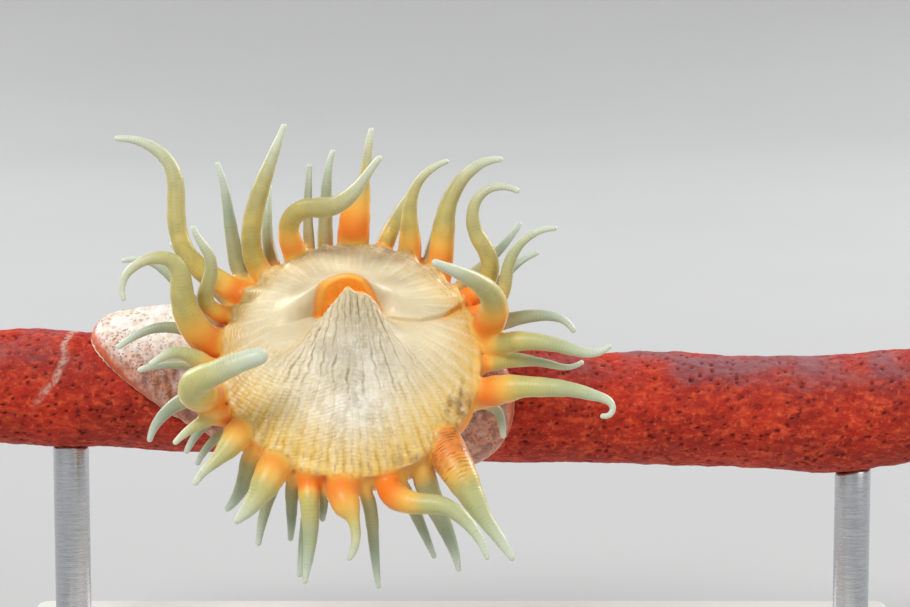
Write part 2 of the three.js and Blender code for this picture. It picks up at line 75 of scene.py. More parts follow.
FOOT_EDGE, FOOT_THICK, FOOT_SWELL, UNDER_LIFT = 0.2, 0.95, 1.9, 0.12
FOOT_ROUND_FROM, FOOT_ROUND_SPAN = 0.93, 0.07
PERCH_RADIUS, PERCH_BACK, PERCH_HEIGHT, PERCH_FALL, PERCH_LIFT, PERCH_HALF = 4.8, 5.0, 24.6, 0.034, 1.2, 40.0

# How far the lips have risen round the mouth, from the right corner anticlockwise.
FAR_LIP = [0, 0.05, 0.2, 0.55, 0.84, 0.94, 0.98, 0.97, 0.94, 0.9, 0.8, 0.5, 0]
NEAR_LIP = [0, 0.03, 0.1, 0.24, 0.52, 0.77, 0.95, 0.84, 0.79, 0.64, 0.26, 0.06, 0]

# Folds of the oral disc as lines across the front view, in mm from the disc's middle.
RIGHT_FOLD = [(2.5, 3.3), (4, 3.05), (5.6, 2.96), (7.6, 3.4), (9.3, 4.4), (10.3, 5.2)]
LEFT_FOLD = [(-2.9, 2.9), (-3.6, 1.9), (-4.2, 1.25), (-5.4, 0.55), (-7, -0.5)]

# The tentacles. clock: place round the margin, in degrees from the right. long: length in mm. head and lean:
# the way it points across the front view and out of it, at even steps. wide: its width in mm at even steps,
# or thick: its root's width. glow: how far up it the orange reaches. cool: how blue-grey its middle is.
# stained: how brown its root is. out: a share of its usual place out. sink: how far its root sinks.
LARGE = [
    dict(clock=8, long=11.1, wide=[1.8, 1.75, 1.7, 1.5, 1.25, 1.1, 0.9, 0.65, 0.4],
         head=[5, 5, -3, -15, -8, 42], lean=[28, 10, 5], glow=0.16, cool=0.65),
    dict(clock=16, long=12.7, wide=[2.3, 2.6, 2.4, 2.1, 1.8, 1.5, 1.2, 0.9, 0.6],
         head=[20, 75, 130, 155, 158], lean=[45, 60, 40, 25], glow=0.42, cool=0.35),
    dict(clock=25, long=11, wide=[1.5, 1.3, 1.15, 1, 0.8, 0.6, 0.42],
         head=[5, 35, 82, 62, 32, 0], lean=[20, 10, 0], glow=0.2, cool=0.6),
    dict(clock=33, long=13.4, wide=[1.8, 1.6, 1.5, 1.4, 1.15, 0.85, 0.65, 0.45],
         head=[25, 38, 92, 122, 98, 58, 8, -28], lean=[10, 5, 0], glow=0.2, cool=0.35),
    dict(clock=49, long=11.9, wide=[2.5, 2.1, 2, 1.8, 1.5, 1.35, 1.1, 0.95, 0.7, 0.45],
         head=[75, 83, 80, 58, 35, 0], lean=[10, 5, 0], glow=0.3, cool=0.35),
    dict(clock=64, long=9.4, wide=[2.2, 1.8, 1.4, 1.05, 0.8, 0.62, 0.45],
         head=[82, 92, 78, 46, 18], lean=[15, 5, 0], glow=0.25, cool=0.3),
    dict(clock=77, long=6.3, wide=[1.6, 1.4, 1.15, 0.85, 0.5],
         head=[62, 64, 58], lean=[-25, -25, -20], glow=0.1, cool=0.4),
    dict(clock=90, long=10, wide=[2.7, 2.65, 2.4, 1.9, 1, 0.85, 0.7, 0.45],
         head=[88, 80, 74, 84, 79], lean=[25, 10, 0], glow=0.5, cool=0.15),
    dict(clock=114, long=15.2, wide=[2.4, 1.9, 1.65, 1.6, 1.6, 1.3, 0.8, 0.5],
         head=[125, 103, 45, -2, 30, 54, 50], lean=[50, 35, 10], glow=0.28, cool=0.3),
    dict(clock=131, long=13.1, wide=[1.95, 1.75, 1.6, 1.5, 1.25, 0.85, 0.45],
         head=[138, 90, 74, 69, 70], lean=[20, 5, 0], glow=0.12, cool=0.35),
    dict(clock=143, long=18.8, wide=[2.25, 2, 1.7, 1.55, 1.5, 1.25, 0.85, 0.45],
         head=[158, 150, 105, 92, 142, 182], lean=[-5, -5, 0], glow=0.15, cool=0.35),
    dict(clock=155, long=10.4, wide=[1.7, 1.4, 1.35, 1.05, 0.8, 0.45],
         head=[182, 160, 75, 82, 122, 112], lean=[50, 30, 10], glow=0.3, cool=0.45),
    dict(clock=168, long=15.6, wide=[2.8, 2.6, 2.3, 2, 1.65, 1.2, 0.85, 0.65, 0.42],
         head=[190, 138, 104, 96, 180, 226, 290], lean=[45, 30, 10, 0], glow=0.3, cool=0.3),
    dict(clock=182, long=6.3, wide=[1.8, 1.5, 1.1, 0.75, 0.45],
         head=[190, 150, 165, 205, 216], lean=[30, 20, 10], glow=0.3, cool=0.6),
    dict(clock=194, long=13.3, wide=[2.5, 2.9, 2.8, 2.45, 2.15, 1.85, 1.6, 1.35],
         head=[188, 185, 38, 24, 14], lean=[45, 78, 48, 15, 10], glow=0.36, cool=0.3),
    dict(clock=205, long=5.3, wide=[1.9, 1.45, 1, 0.7, 0.42],
         head=[200, 206, 215, 228], lean=[25, 15, 5], glow=0.35, cool=0.4),
    dict(clock=214, out=0.9, long=7.4, wide=[2.4, 2.5, 2, 1.25, 0.8, 0.45],
         head=[225, 238, 228, 223, 242], lean=[45, 25, 5], glow=0.45, cool=0.35),
    dict(clock=236, out=0.9, long=7.3, wide=[2.4, 2.7, 2.6, 2.2, 1.6, 1.1, 0.55],
         head=[250, 245, 235, 221], lean=[35, 20, 5], glow=0.48, cool=0.3),
    dict(clock=253, long=8.7, wide=[1.9, 1.75, 1.5, 1.25, 1, 0.7, 0.42],
         head=[271, 273, 264, 261], lean=[0, -5, -5], glow=0.2, cool=0.8),
    dict(clock=268, out=0.94, long=7.7, wide=[2.5, 2.75, 2.45, 2.05, 1.05, 0.8, 0.65, 0.42],
         head=[268, 270, 300, 285, 262, 235], lean=[40, 20, -10], glow=0.58, cool=0.25),
    dict(clock=287, long=11.6, wide=[2.1, 2.1, 2.05, 1.8, 1.6, 1.45, 1.3, 1.1, 0.85, 0.65, 0.4],
         head=[278, 328, 360, 326, 305, 288], lean=[25, 15, 5], glow=0.36, cool=0.55),
    dict(clock=316, long=11.1, wide=[3.1, 3.1, 2.8, 2.4, 1.9, 1.4, 1.1, 0.85, 0.5],
         head=[294, 299, 299, 307, 302], lean=[30, 15, 5], glow=0.36, cool=0.6, stained=0.95, sink=0.25),
    dict(clock=347, long=12.8, wide=[2.3, 2.5, 2.2, 1.75, 1.6, 1.4, 1.2, 1, 0.75, 0.5, 0.4],
         head=[2, 0, -1, -4, -15, -34, -200], lean=[20, 10, 0], glow=0.26, cool=0.65),
    dict(clock=360, long=8.7, wide=[1.4, 1.4, 1.3, 1.05, 0.75, 0.62, 0.45, 0.4],
         head=[0, 0, -6, -12, 35], lean=[-30, -8, 5], glow=0.1, cool=0.8),
]
SMALL = [
    dict(clock=19, long=8.8, thick=1.5, head=[22, 16, 8, -12, -62], lean=[-15, -5, 0]),
    dict(clock=28, long=8.2, thick=1, head=[40, 48, 44, 20], lean=[-20, -15]),
    dict(clock=40, long=8.6, thick=1.2, head=[44, 42, 48, 56], lean=[-20, -15]),
    dict(clock=57, long=4.6, thick=1, head=[72, 79], lean=[-5]),
    dict(clock=102, long=8.8, thick=1.4, head=[92, 89, 86, 72], lean=[0]),
    dict(clock=109, long=7.9, thick=1, head=[95, 92, 88, 86], lean=[10, 0]),
    dict(clock=125, long=7.6, thick=1.2, head=[115, 92, 86], lean=[-10]),
    dict(clock=138, long=11.2, thick=1.5, head=[140, 104, 99, 100, 110], lean=[0]),
    dict(clock=150, long=8.3, thick=1, head=[142, 136, 128], lean=[-20, -10]),
    dict(clock=163, long=11.2, thick=1.2, head=[138, 132, 140, 195], lean=[-15, -10, 0]),
    dict(clock=170, long=9.3, thick=1.2, head=[150, 153, 178, 205, 218], lean=[-10, 0, 5]),
    dict(clock=180, long=6.7, thick=1.2, head=[163, 175, 186, 202], lean=[-15, -5, 0]),
    dict(clock=191, long=7.9, thick=1.7, head=[178, 198, 212, 232, 258], lean=[-20, -15, -5]),
    dict(clock=200, long=5, thick=1, head=[210, 228, 245], lean=[-20, -10]),
    dict(clock=210, long=4.6, thick=0.9, head=[200, 225, 245], lean=[-25, -15]),
    dict(clock=225, long=5.5, thick=1.8, head=[250, 251, 240, 225], lean=[-25, -20, -10]),
    dict(clock=239, long=6.2, thick=1.2, head=[245, 254, 262], lean=[-15, -5]),
    dict(clock=246, long=5.8, thick=1.2, head=[262, 268, 264], lean=[-35, -25]),
    dict(clock=253, long=8, thick=0.9, head=[266, 262, 263, 266], lean=[-25, -15]),
    dict(clock=260, long=2.8, thick=0.8, head=[268, 262], lean=[-20]),
    dict(clock=277, long=8.1, thick=1.2, head=[290, 275, 275, 278], lean=[-15, -10, -5]),
    dict(clock=292, long=7.8, thick=1.3, head=[298, 293, 292], lean=[-35, -20]),
    dict(clock=303, long=8.6, thick=2, head=[285, 294, 292, 280], lean=[-10, -5, -5]),
    dict(clock=343, long=4.6, thick=1, head=[375, 325, 282, 275], lean=[-40, -10]),
]

# Where the tentacles start, as a share of the disc's size and in mm below it, and how far their roots sink.
ROOTS = {"large": dict(out=1.0, down=0.3, sink=0.9), "small": dict(out=1.02, down=1.8, sink=0)}
ROOT_CAP, TIP_CAP = np.radians([12, 32, 52, 72]), np.radians([22, 42, 60, 75, 86])
SMALL_TIP, SMALL_FULL = 0.42, 1.4
LINE_STEPS = 480

# ---------------- sizes of the fine forms, in mm, and counts

SWELLS = (1.3, 1.9, 3.1)
CONE_RIDGES, BEAD_GAP = (36, 66, 98), 0.7
DISC_CREASES, DISC_LOBES = 96, 30
CRUMPLE_AT = 331
BRANCH_STEPS, BRANCH_SIDES, CUT_ROUND = 556, 164, 0.5
SLIT_STRETCH = (0.68, 1.0, 1.0)
SCRAP_AT, SCRAP_SLANT, SCRAP_WANDER = -34.4, 0.42, 5.0
ROD_SIDES, ROD_SUNK = 48, 0.3
FLOOR_GAP = 0.05 * MM
AIM_RIGHT, AIM_UP, VIEW_HALF = 8.4, 4.68, 36.4

# Points nearer than this are the same, and points of the join nearer than a sliver are merged.
SAME_POINT, SLIVER = 2e-7, 0.05 * MM

# The marks that the skin carries at each point for its finish. Those up to the foot's flush and painted shade
# are softened at the joints.
CARRIED = (
    "tentacle", "cool", "glow", "pale", "small", "throat", "disc", "foot", "yellow", "brown", "grey", "flush",
    "reach", "share", "turn_cos", "turn_sin", "fold")
SOFTENED = CARRIED[:CARRIED.index("flush") + 1]

# The colours of the finishes, as on a screen.
TINTS = {
    "pale cream": (230, 217, 180), "margin yellow": (236, 201, 110), "pale streak": (250, 244, 226),
    "ridge grey": (202, 195, 176), "ridge white": (234, 229, 214), "ridge fleck": (246, 244, 236),
    "buff": (226, 172, 98), "dull buff": (196, 142, 90), "amber": (238, 184, 84),
    # The throat's oranges are lighter than its own colour, as painted light in its cavity.
    "throat amber": (255, 190, 84), "throat deep": (255, 176, 70), "throat rim": (252, 158, 62),
    "foot white": (250, 246, 238), "foot pale": (240, 226, 212), "foot patch": (224, 190, 168),
    "flush dark": (136, 68, 50), "flush pale": (196, 128, 100), "knob": (214, 216, 222),
    "freckle": (150, 84, 58), "blot": (176, 112, 80),
    "edge wash": (232, 150, 116), "edge line": (210, 88, 40),
    "straw": (214, 196, 104), "dull straw": (190, 184, 110), "olive straw": (206, 182, 92),
    "dull olive": (176, 160, 90), "cool mint": (150, 178, 160), "cool green": (180, 190, 152),
    "small grey": (144, 152, 136), "tip pale": (208, 222, 210), "hoop": (124, 118, 68),
    "stain": (204, 168, 104), "dark stain": (140, 102, 58),
    "dull red": (150, 34, 20), "light red": (212, 80, 44), "dark red": (100, 16, 12),
    # The branch's grey-purple over its upper side is a painted highlight, and the near-black red of its slits
    # painted shade.
    "rind fleck": (232, 112, 70), "painted_top_highlight": (132, 98, 104), "scrap": (206, 178, 160), "pit": (70, 8, 8),
    "core dark": (34, 20, 14), "core light": (62, 38, 26),
    "cut red": (176, 84, 60), "cut pale": (216, 134, 104),
    "steel dark": (178, 180, 184), "steel light": (200, 202, 205),
}
# Shares of each colour that the painted shade of fine lines, folds and creases keeps.
LINE_SHADE, FOLD_SHADE = (0.62, 0.48, 0.3), (0.5, 0.4, 0.28)

# The lamps: place and size in metres, share of the key light's strength, and colour.
LAMPS = {
    "key_light": ((-0.36, -0.62, 0.7), (0.36, 0.36), 1, (1, 1, 1)),
    "fill_light": ((0.62, -0.54, 0.26), (0.5, 0.5), 0.3, (1.0, 0.96, 0.92)),
    "right_rim_light": ((0.54, 0.44, 0.42), (0.22, 0.36), 0.8, (0.97, 0.99, 1.0)),
    "left_rim_light": ((-0.54, 0.46, 0.4), (0.22, 0.36), 0.65, (0.97, 0.99, 1.0)),
}

# ---------------- settings


def length_setting(name, description, size, least=0.0):
    """A length, whose size and least value are given in mm."""
    return bpy.props.FloatProperty(
        name=name, description=description, default=size * MM, min=least * MM, unit="LENGTH")


def colour_setting(name, description, *rgb):
    return bpy.props.FloatVectorProperty(
        name=name, description=description, default=rgb, size=3, min=0, max=1, subtype="COLOR")


class AnemoneBodySettings(bpy.types.PropertyGroup):
    ridge_depth: length_setting("Ridge Depth", "How far the ridges below the mouth stand up", 0.09)
    wrinkle_depth: length_setting("Wrinkle Depth", "Depth of the oral disc's fine brickwork wrinkles", 0.038)
    wrinkle_gap: length_setting("Wrinkle Spacing", "From one wrinkle of the disc to the next", 0.36, 0.05)
    tip_width: length_setting("Tip Width", "The least width that a tentacle's tip keeps", 0.4, 0.1)
    ring_step: length_setting("Ring Step", "Distance between the rings of a tentacle's tube", 0.28, 0.1)
    tube_sides: bpy.props.IntProperty(
        name="Tube Sides", description="Sides of a tentacle's tube", default=18, min=6)
    blend_width: length_setting("Blend Width", "How softly each tentacle runs into the body", 0.42)
    cream: colour_setting("Cream", "The oral disc's main colour", 0.68, 0.575, 0.365)
    orange: colour_setting("Orange", "Tentacle roots", 0.89, 0.225, 0.022)


class AnemoneBranchSettings(bpy.types.PropertyGroup):
    pit_depth: length_setting("Pit Depth", "Depth of the small slits in the branch's rind", 0.2)
    pit_size: length_setting("Pit Spacing", "From one slit to the next", 0.54, 0.2)
    lump_height: length_setting("Lump Height", "Height of the low lumps of the rind", 0.5)
    red: colour_setting("Red", "The branch's rind", 0.44, 0.022, 0.007)


class AnemoneStandSettings(bpy.types.PropertyGroup):
    edge_round: length_setting("Edge Rounding", "Rounding of the base's upper edge", 0.6)
    corner_round: length_setting("Corner Rounding", "Rounding of the base's upright corners", 1.2)
    base_colour: colour_setting("Base Colour", "Plastic of the flat base", 0.68, 0.66, 0.62)


class AnemoneStageSettings(bpy.types.PropertyGroup):
    floor_colour: colour_setting("Floor Colour", "The plain pale floor and backdrop", 0.42, 0.415, 0.41)
    key_light: bpy.props.FloatProperty(
        name="Key Light", description="Strength of the main soft light", default=6.6, min=0, unit="POWER")
    camera_away: length_setting("Camera Distance", "From the camera to the animal", 250, 50)


SETTINGS = {
    "anemone_body": AnemoneBodySettings,
    "anemone_branch": AnemoneBranchSettings,
    "anemone_stand": AnemoneStandSettings,
    "anemone_stage": AnemoneStageSettings,
}

# ---------------- curves and unevenness


def lerp(a, b, t):
    return a + (b - a) * t


def smooth(x, low, high):
    """A soft step from 0 at low to 1 at high, whichever is the greater."""
    t = np.clip((np.asarray(x, float) - low) / (high - low), 0, 1)
    return t * t * (3 - 2 * t)


def window(x, low, full, fading, gone):
    """1 from full to fading, falling softly to 0 at low and at gone."""
    return smooth(x, low, full) * (1 - smooth(x, fading, gone))


def bell(x, middle, width):
    return np.exp(-(((x - middle) / width) ** 2))


def along(values, s):
    """A smooth curve through values spaced evenly from 0 to 1."""
    values = np.asarray(values, float)
    last = len(values) - 1
    if last == 0:
        return np.full(np.shape(s), values[0])
    i = np.minimum(np.floor(s * last).astype(int), last - 1)
    f = s * last - i
    before, here, there, beyond = (values[np.clip(i + k, 0, last)] for k in (-1, 0, 1, 2))
    slope_in, slope_out, rise = (there - before) / 2, (beyond - here) / 2, there - here
    bend = 3 * rise - 2 * slope_in - slope_out
    return here + f * (slope_in + f * (bend + f * (slope_in + slope_out - 2 * rise)))


def most(*values):
    """The highest of several values at each point."""
    return np.maximum.reduce(values)


def near_angle(angle, degrees, width):
    """1 at a clock angle, falling off smoothly over a width in degrees to each side."""
    return bell((np.degrees(angle) - degrees + 180) % 360 - 180, 0, width)


def mottle(points, seed, scale):
    """A soft seeded unevenness in space, about -1 to 1, whose lumps are a scale in mm across."""
    draw, count = np.random.RandomState(seed), 9
    ways = draw.normal(size=(count, 3))
    lengths = np.linalg.norm(ways, axis=1, keepdims=True)
    ways *= (2 * math.pi / scale) * draw.uniform(0.6, 1.3, (count, 1)) / lengths
    shifts = draw.uniform(0, 2 * math.pi, count)
    return np.cos(points @ ways.T + shifts).sum(axis=1) * math.sqrt(2 / count) / 1.6


# ---------------- points, faces and meshes


def round_angles(count):
    return 2 * math.pi * np.arange(count) / count


def in_row(points):
    """Points of the animal's own frame in the row's frame, both in mm."""
    x, y, z = points.T
    cos, sin = math.cos(ROW_TURN), math.sin(ROW_TURN)
    return np.stack([x, y * cos - z * sin, y * sin + z * cos], axis=1) + DISC_PLACE


def new_object(name, data):
    made = bpy.data.objects.new(name, data)
    bpy.context.scene.collection.objects.link(made)
    return made


def mesh_of(name, points, faces, edges=(), material=None):
    """A mesh of points in mm, smooth where it has a material."""
    mesh = bpy.data.meshes.new(name)
    mesh.from_pydata((points * MM).tolist(), edges, faces)
    if material:
        mesh.materials.append(material)
        mesh.polygons.foreach_set("use_smooth", [True] * len(mesh.polygons))
    mesh.update()
    return mesh


def store(mesh, name, values, kind="FLOAT"):
    attribute = mesh.attributes.get(name) or mesh.attributes.new(name, kind, "POINT")
    attribute.data.foreach_set("value", np.asarray(values, np.float32 if kind == "FLOAT" else np.int32))


def stored(mesh, name):
    values = np.zeros(len(mesh.vertices), np.float32)
    if name in mesh.attributes:
        mesh.attributes[name].data.foreach_get("value", values)
    return values.astype(float)


def points_of(mesh):
    flat = np.zeros(len(mesh.vertices) * 3, np.float32)
    mesh.vertices.foreach_get("co", flat)
    return flat.reshape(-1, 3).astype(float)


def tree_of(points):
    tree = KDTree(len(points))
    for i, point in enumerate(points.tolist()):
        tree.insert(point, i)
    tree.balance()
    return tree


def rings_to_faces(counts):
    """Faces over rings of points in order. A ring of one point is a pole.

    Any other ring has as many points as the one before it, twice as many, or half as many."""
    faces, a = [], 0
    for n, m in zip(counts, counts[1:]):
        b = a + n
        for i in range(max(n, m) if 1 in (n, m) else min(n, m)):
            here, there, double = a + (i + 1) % n, b + (i + 1) % m, 2 * i + 1
            if n == 1:
                faces.append((a, b + i, there))
            elif m == 1:
                faces.append((a + i, b, here))
            elif n == m:
                faces.append((a + i, b + i, there, here))
            elif n < m:
                one, two, three = b + double - 1, b + double, b + (double + 1) % m
                faces += [(a + i, one, two), (a + i, two, here), (here, two, three)]
            else:
                one, two, three = a + double - 1, a + double, a + (double + 1) % n
                faces += [(one, b + i, two), (two, b + i, there), (two, there, three)]
        a = b
    return faces


def facing_out(points, faces):
    """The faces of a closed form, all turned over if they enclose less than nothing."""
    fans = np.array([(f[0], f[k], f[k + 1]) for f in faces for k in range(1, len(f) - 1)])
    a, b, c = points[fans].transpose(1, 0, 2)
    return faces if (a * np.cross(b, c)).sum() > 0 else [tuple(reversed(f)) for f in faces]


def loft(rings):
    """The points and outward faces of a closed form, from rings of points in order and a pole at each end."""
    points = np.concatenate(rings)
    return points, facing_out(points, rings_to_faces([len(ring) for ring in rings]))


def normals_of(points, faces):
    normals = np.zeros_like(points)
    for size in (3, 4):
        corners = np.array([f for f in faces if len(f) == size], int).reshape(-1, size)
        across = points[corners[:, 2]] - points[corners[:, 0]]
        other = points[corners[:, 3 % size]] - points[corners[:, 1]]
        for k in range(size):
            np.add.at(normals, corners[:, k], np.cross(across, other))
    return normals / np.maximum(np.linalg.norm(normals, axis=1, keepdims=True), 1e-12)


# ---------------- nodes


def linear(*rgb):
    """A screen colour as the linear one that a shader takes."""
    return tuple(v / 255 / 12.92 if v < 11 else ((v / 255 + 0.055) / 1.055) ** 2.4 for v in rgb)


class Nodes:
    """Adds linked nodes to a tree. A value may be a socket, a constant or, for a colour, a name in TINTS."""

    def __init__(self, tree):
        self.tree = tree

    def plug(self, socket, value):
        if isinstance(value, bpy.types.NodeSocket):
            self.tree.links.new(value, socket)
        elif socket.type == "RGBA":
            socket.default_value = (*(linear(*TINTS[value]) if isinstance(value, str) else value), 1)
        else:
            socket.default_value = value

    def add(self, kind, inputs=None, **settings):
        made = self.tree.nodes.new(kind)
        for key, value in settings.items():
            setattr(made, key, value)
        for key, value in (inputs or {}).items():
            self.plug(made.inputs[key], value)
        return made

    def first(self, kind, inputs=None, **settings):
        """The first output of a new node."""
        return self.add(kind, inputs, **settings).outputs[0]

    def maths(self, operation, *values):
        return self.first("ShaderNodeMath", dict(enumerate(values)), operation=operation)

    def times(self, value, *others):
        for other in others:
            value = self.maths("MULTIPLY", value, other)
        return value

    def between(self, value, low, high, to_low=0.0, to_high=1.0):
        """A value's place from low to high, softened, as a number from to_low to to_high."""
        keys = ("Value", "From Min", "From Max", "To Min", "To Max")
        inputs = dict(zip(keys, (value, low, high, to_low, to_high)))
        return self.first("ShaderNodeMapRange", inputs, interpolation_type="SMOOTHSTEP")

    def noise(self, place, scale, detail=3.0, roughness=0.55):
        inputs = {"Vector": place, "Scale": scale, "Detail": detail, "Roughness": roughness}
        return self.first("ShaderNodeTexNoise", inputs)

    def vector(self, operation, inputs):
        return self.first("ShaderNodeVectorMath", inputs, operation=operation)

    def split(self, vector):
        """The X, Y and Z of a vector."""
        return self.add("ShaderNodeSeparateXYZ", {"Vector": vector}).outputs


class Finish(Nodes):
    """Builds a material whose patterns lie in the row's own space."""

    def __init__(self, name):
        self.material = bpy.data.materials.new(name)
        self.material.use_nodes = True
        super().__init__(self.material.node_tree)
        self.place = self.add("ShaderNodeTexCoord").outputs["Object"]

    def carried(self, name):
        """A mark that the mesh carries at each point."""
        return self.add("ShaderNodeAttribute", attribute_name=name).outputs["Fac"]

    def grain(self, scale, detail=3.0, roughness=0.55, stretch=None):
        place = self.place
        if stretch:
            place = self.first("ShaderNodeMapping", {"Vector": place, "Scale": stretch})
        return self.noise(place, scale, detail, roughness)

    def dots(self, scale, edge, full):
        """Round dots, from 0 at an edge to 1 within a smaller distance of their middles."""
        cells = self.add("ShaderNodeTexVoronoi", {"Vector": self.place, "Scale": scale})
        return self.between(cells.outputs["Distance"], edge, full)

    def blend(self, share, first, second, way="MIX"):
        inputs = {0: share, 6: first, 7: second}
        made = self.add("ShaderNodeMix", inputs, data_type="RGBA", blend_type=way, clamp_factor=True)
        return made.outputs[2]

    def paint(self, colour, *layers):
        """A colour with others laid over it in turn, each as its share, its colour and its way of mixing."""
        for share, over, *way in layers:
            colour = self.blend(share, colour, over, *way)
        return colour

    def made(self, inputs, height=None, distance=0.0, strength=1.0):
        """The material, with its inputs set and a height that stands out on it by a distance in mm."""
        if height is not None:
            bump = {"Height": height, "Distance": distance * MM, "Strength": strength}
            inputs["Normal"] = self.first("ShaderNodeBump", bump)
        for key, value in inputs.items():
            self.plug(self.tree.nodes["Principled BSDF"].inputs[key], value)
        return self.material


def new_tree(name, kinds):
    """The nodes of a new geometry tree with named inputs of given kinds, and the inputs' sockets."""
    tree = bpy.data.node_groups.new(name, "GeometryNodeTree")
    for label, kind in kinds.items():
        tree.interface.new_socket(label, in_out="INPUT", socket_type=f"NodeSocket{kind}")
    tree.interface.new_socket("Mesh", in_out="OUTPUT", socket_type="NodeSocketGeometry")
    nodes = Nodes(tree)
    return nodes, nodes.add("NodeGroupInput").outputs


def end_tree(nodes, geometry, material):
    even = nodes.first("GeometryNodeSetShadeSmooth", {"Geometry": geometry})
    real = nodes.first("GeometryNodeRealizeInstances", {"Geometry": even})
    dressed = nodes.first("GeometryNodeSetMaterial", {"Geometry": real, "Material": material})
    nodes.add("NodeGroupOutput", {"Mesh": dressed})
    return nodes.tree


def run_tree(thing, tree, inputs):
    """The mesh that a node tree makes of an object, whose modifier is then removed."""
    modifier = thing.modifiers.new(tree.name, "NODES")
    modifier.node_group = tree
    for item in tree.interface.items_tree:
        if item.in_out == "INPUT" and item.name in inputs:
            modifier[item.identifier] = inputs[item.name]
    graph = bpy.context.evaluated_depsgraph_get()
    mesh = bpy.data.meshes.new_from_object(
        thing.evaluated_get(graph), preserve_all_data_layers=True, depsgraph=graph)
    thing.modifiers.remove(modifier)
    return mesh


# ---------------- the body's smooth form, in its own frame


def disc_point(across, up, out):
    """A place given across, up and out from the middle of the oral disc."""
    cos, sin = math.cos(math.radians(DISC_TILT)), math.sin(math.radians(DISC_TILT))
    across, up, out = np.broadcast_arrays(*np.atleast_1d(across, up, out))
    return np.stack([across, up * cos + out * sin, out * cos - up * sin], axis=1)


def dome(across, up):
    return DISC_DOME * (1 - np.hypot(across / DISC_WIDE, up / DISC_HIGH) ** DISC_POWER)


def lip_crest(angle):
    turn = (angle / math.pi) % 2
    far = turn < 1
    risen = np.where(far, along(FAR_LIP, np.clip(turn, 0, 1)), along(NEAR_LIP, np.clip(turn - 1, 0, 1)))
    bulge = 1 + LIP_BULGE * smooth(-np.cos(angle), 0.3, 1)
    return (
        LIP_WIDE * bulge * np.cos(angle),
        LIP_UP + np.where(np.sin(angle) < 0, LIP_NEAR, LIP_FAR) * np.sin(angle),
        LIP_CORNER + np.where(far, FAR_RISE, NEAR_RISE) * risen,
    )


def throat_point(angle, depth):
    """The mouth's inner wall from the crest of the lips (depth 0) to the throat's floor (depth 1)."""
    across, up, out = lip_crest(angle)
    rounded = min(depth / LIP_SHARE, 1)
    below = max(depth - LIP_SHARE, 0) / (1 - LIP_SHARE)
    width = 1 - LIP_INWARD * math.sqrt(1 - (1 - rounded) ** 2)
    width *= math.sqrt(max(1 - below ** THROAT_POWER, 0))
    level = lerp(out - LIP_DROP * (1 - math.sqrt(1 - rounded ** 2)), THROAT_FLOOR, below)
    return disc_point(width * across, LIP_UP + width * (up - LIP_UP), level)


def face_point(angle, share):
    """The upper face from the lips (share 0) to the margin (share 1)."""
    lip_across, lip_up, lip_out = lip_crest(angle)
    across = lerp(lip_across, DISC_WIDE * np.cos(angle), share)
    up = lerp(lip_up, DISC_HIGH * np.sin(angle), share)
    cone = max(0, 1 - share / FLANK_REACH) ** FLANK_POWER
    return disc_point(across, up, dome(across, up) + (lip_out - dome(lip_across, lip_up)) * cone)


def margin_point(angle, share):
    out = MARGIN_OUT if share < 0.5 else lerp(MARGIN_OUT, MARGIN_IN, 2 * share - 1)
    wide = lerp(1, out, math.sin(min(share, 0.5) * math.pi))
    down = MARGIN_DOWN * share ** MARGIN_POWER
    return disc_point(DISC_WIDE * wide * np.cos(angle), DISC_HIGH * wide * np.sin(angle), -down)


def perch_radius(x):
    return PERCH_RADIUS * (1 + 0.025 * np.sin(0.21 * x + 1) + 0.015 * np.sin(0.47 * x))


def perch_height(x):
    return PERCH_HEIGHT - PERCH_FALL * x + PERCH_LIFT * smooth(x, PERCH_HALF - 2 * PERCH_RADIUS, PERCH_HALF)


def foot_point(angle, share, lift):
    """The foot from its middle (share 0) to its edge (share 1), at a lift off the branch."""
    x = lerp(FOOT_COLUMN, FOOT_MIDDLE, share) + share * FOOT_HALF * np.cos(angle)
    from_left = np.clip((x - FOOT_MIDDLE + FOOT_HALF) / (2 * FOOT_HALF), 0, 1)
    span = np.where(np.sin(angle) < 0, lerp(*FOOT_LOWER, from_left), FOOT_UPPER)
    turned = np.radians(lerp(FOOT_LEFT, FOOT_RIGHT, from_left) + share * span * np.sin(angle))
    cos, sin = math.cos(ROW_TURN), math.sin(ROW_TURN)
    back, high = PERCH_BACK - DISC_PLACE[1], perch_height(x + DISC_PLACE[0]) - DISC_PLACE[2]
    r = perch_radius(x + DISC_PLACE[0]) + lift
    return np.stack([
        x,
        back * cos + high * sin + r * np.sin(turned),
        -back * sin + high * cos + r * np.cos(turned),
    ], axis=1)


def foot_lift(share):
    edge = math.sqrt(1 - min(max((share - FOOT_ROUND_FROM) / FOOT_ROUND_SPAN, 0), 1) ** 2)
    return FOOT_EDGE + FOOT_THICK * edge + FOOT_SWELL * math.sqrt(max(1 - share * share, 0))


def column_point(angle, share):
    """The column from the margin (share 0) to the foot (share 1), as a curve pulled by both."""
    top = margin_point(angle, 1)
    top_pull = top + disc_point(0.0, 0.0, -COLUMN_DOWN)
    bottom = foot_point(angle, COLUMN_SHARE, foot_lift(COLUMN_SHARE))
    bottom_pull = foot_point(angle, COLUMN_SHARE * COLUMN_FLARE, foot_lift(COLUMN_SHARE) + COLUMN_UP)
    rest = 1 - share
    return rest ** 3 * top + 3 * rest * share * (rest * top_pull + share * bottom_pull) + share ** 3 * bottom


PART_POINT = {
    "throat": throat_point,
    "disc": face_point,
    "margin": margin_point,
    "column": column_point,
    "foot": lambda angle, share: foot_point(angle, share, foot_lift(share)),
    "under": lambda angle, share: foot_point(angle, share, UNDER_LIFT),
}

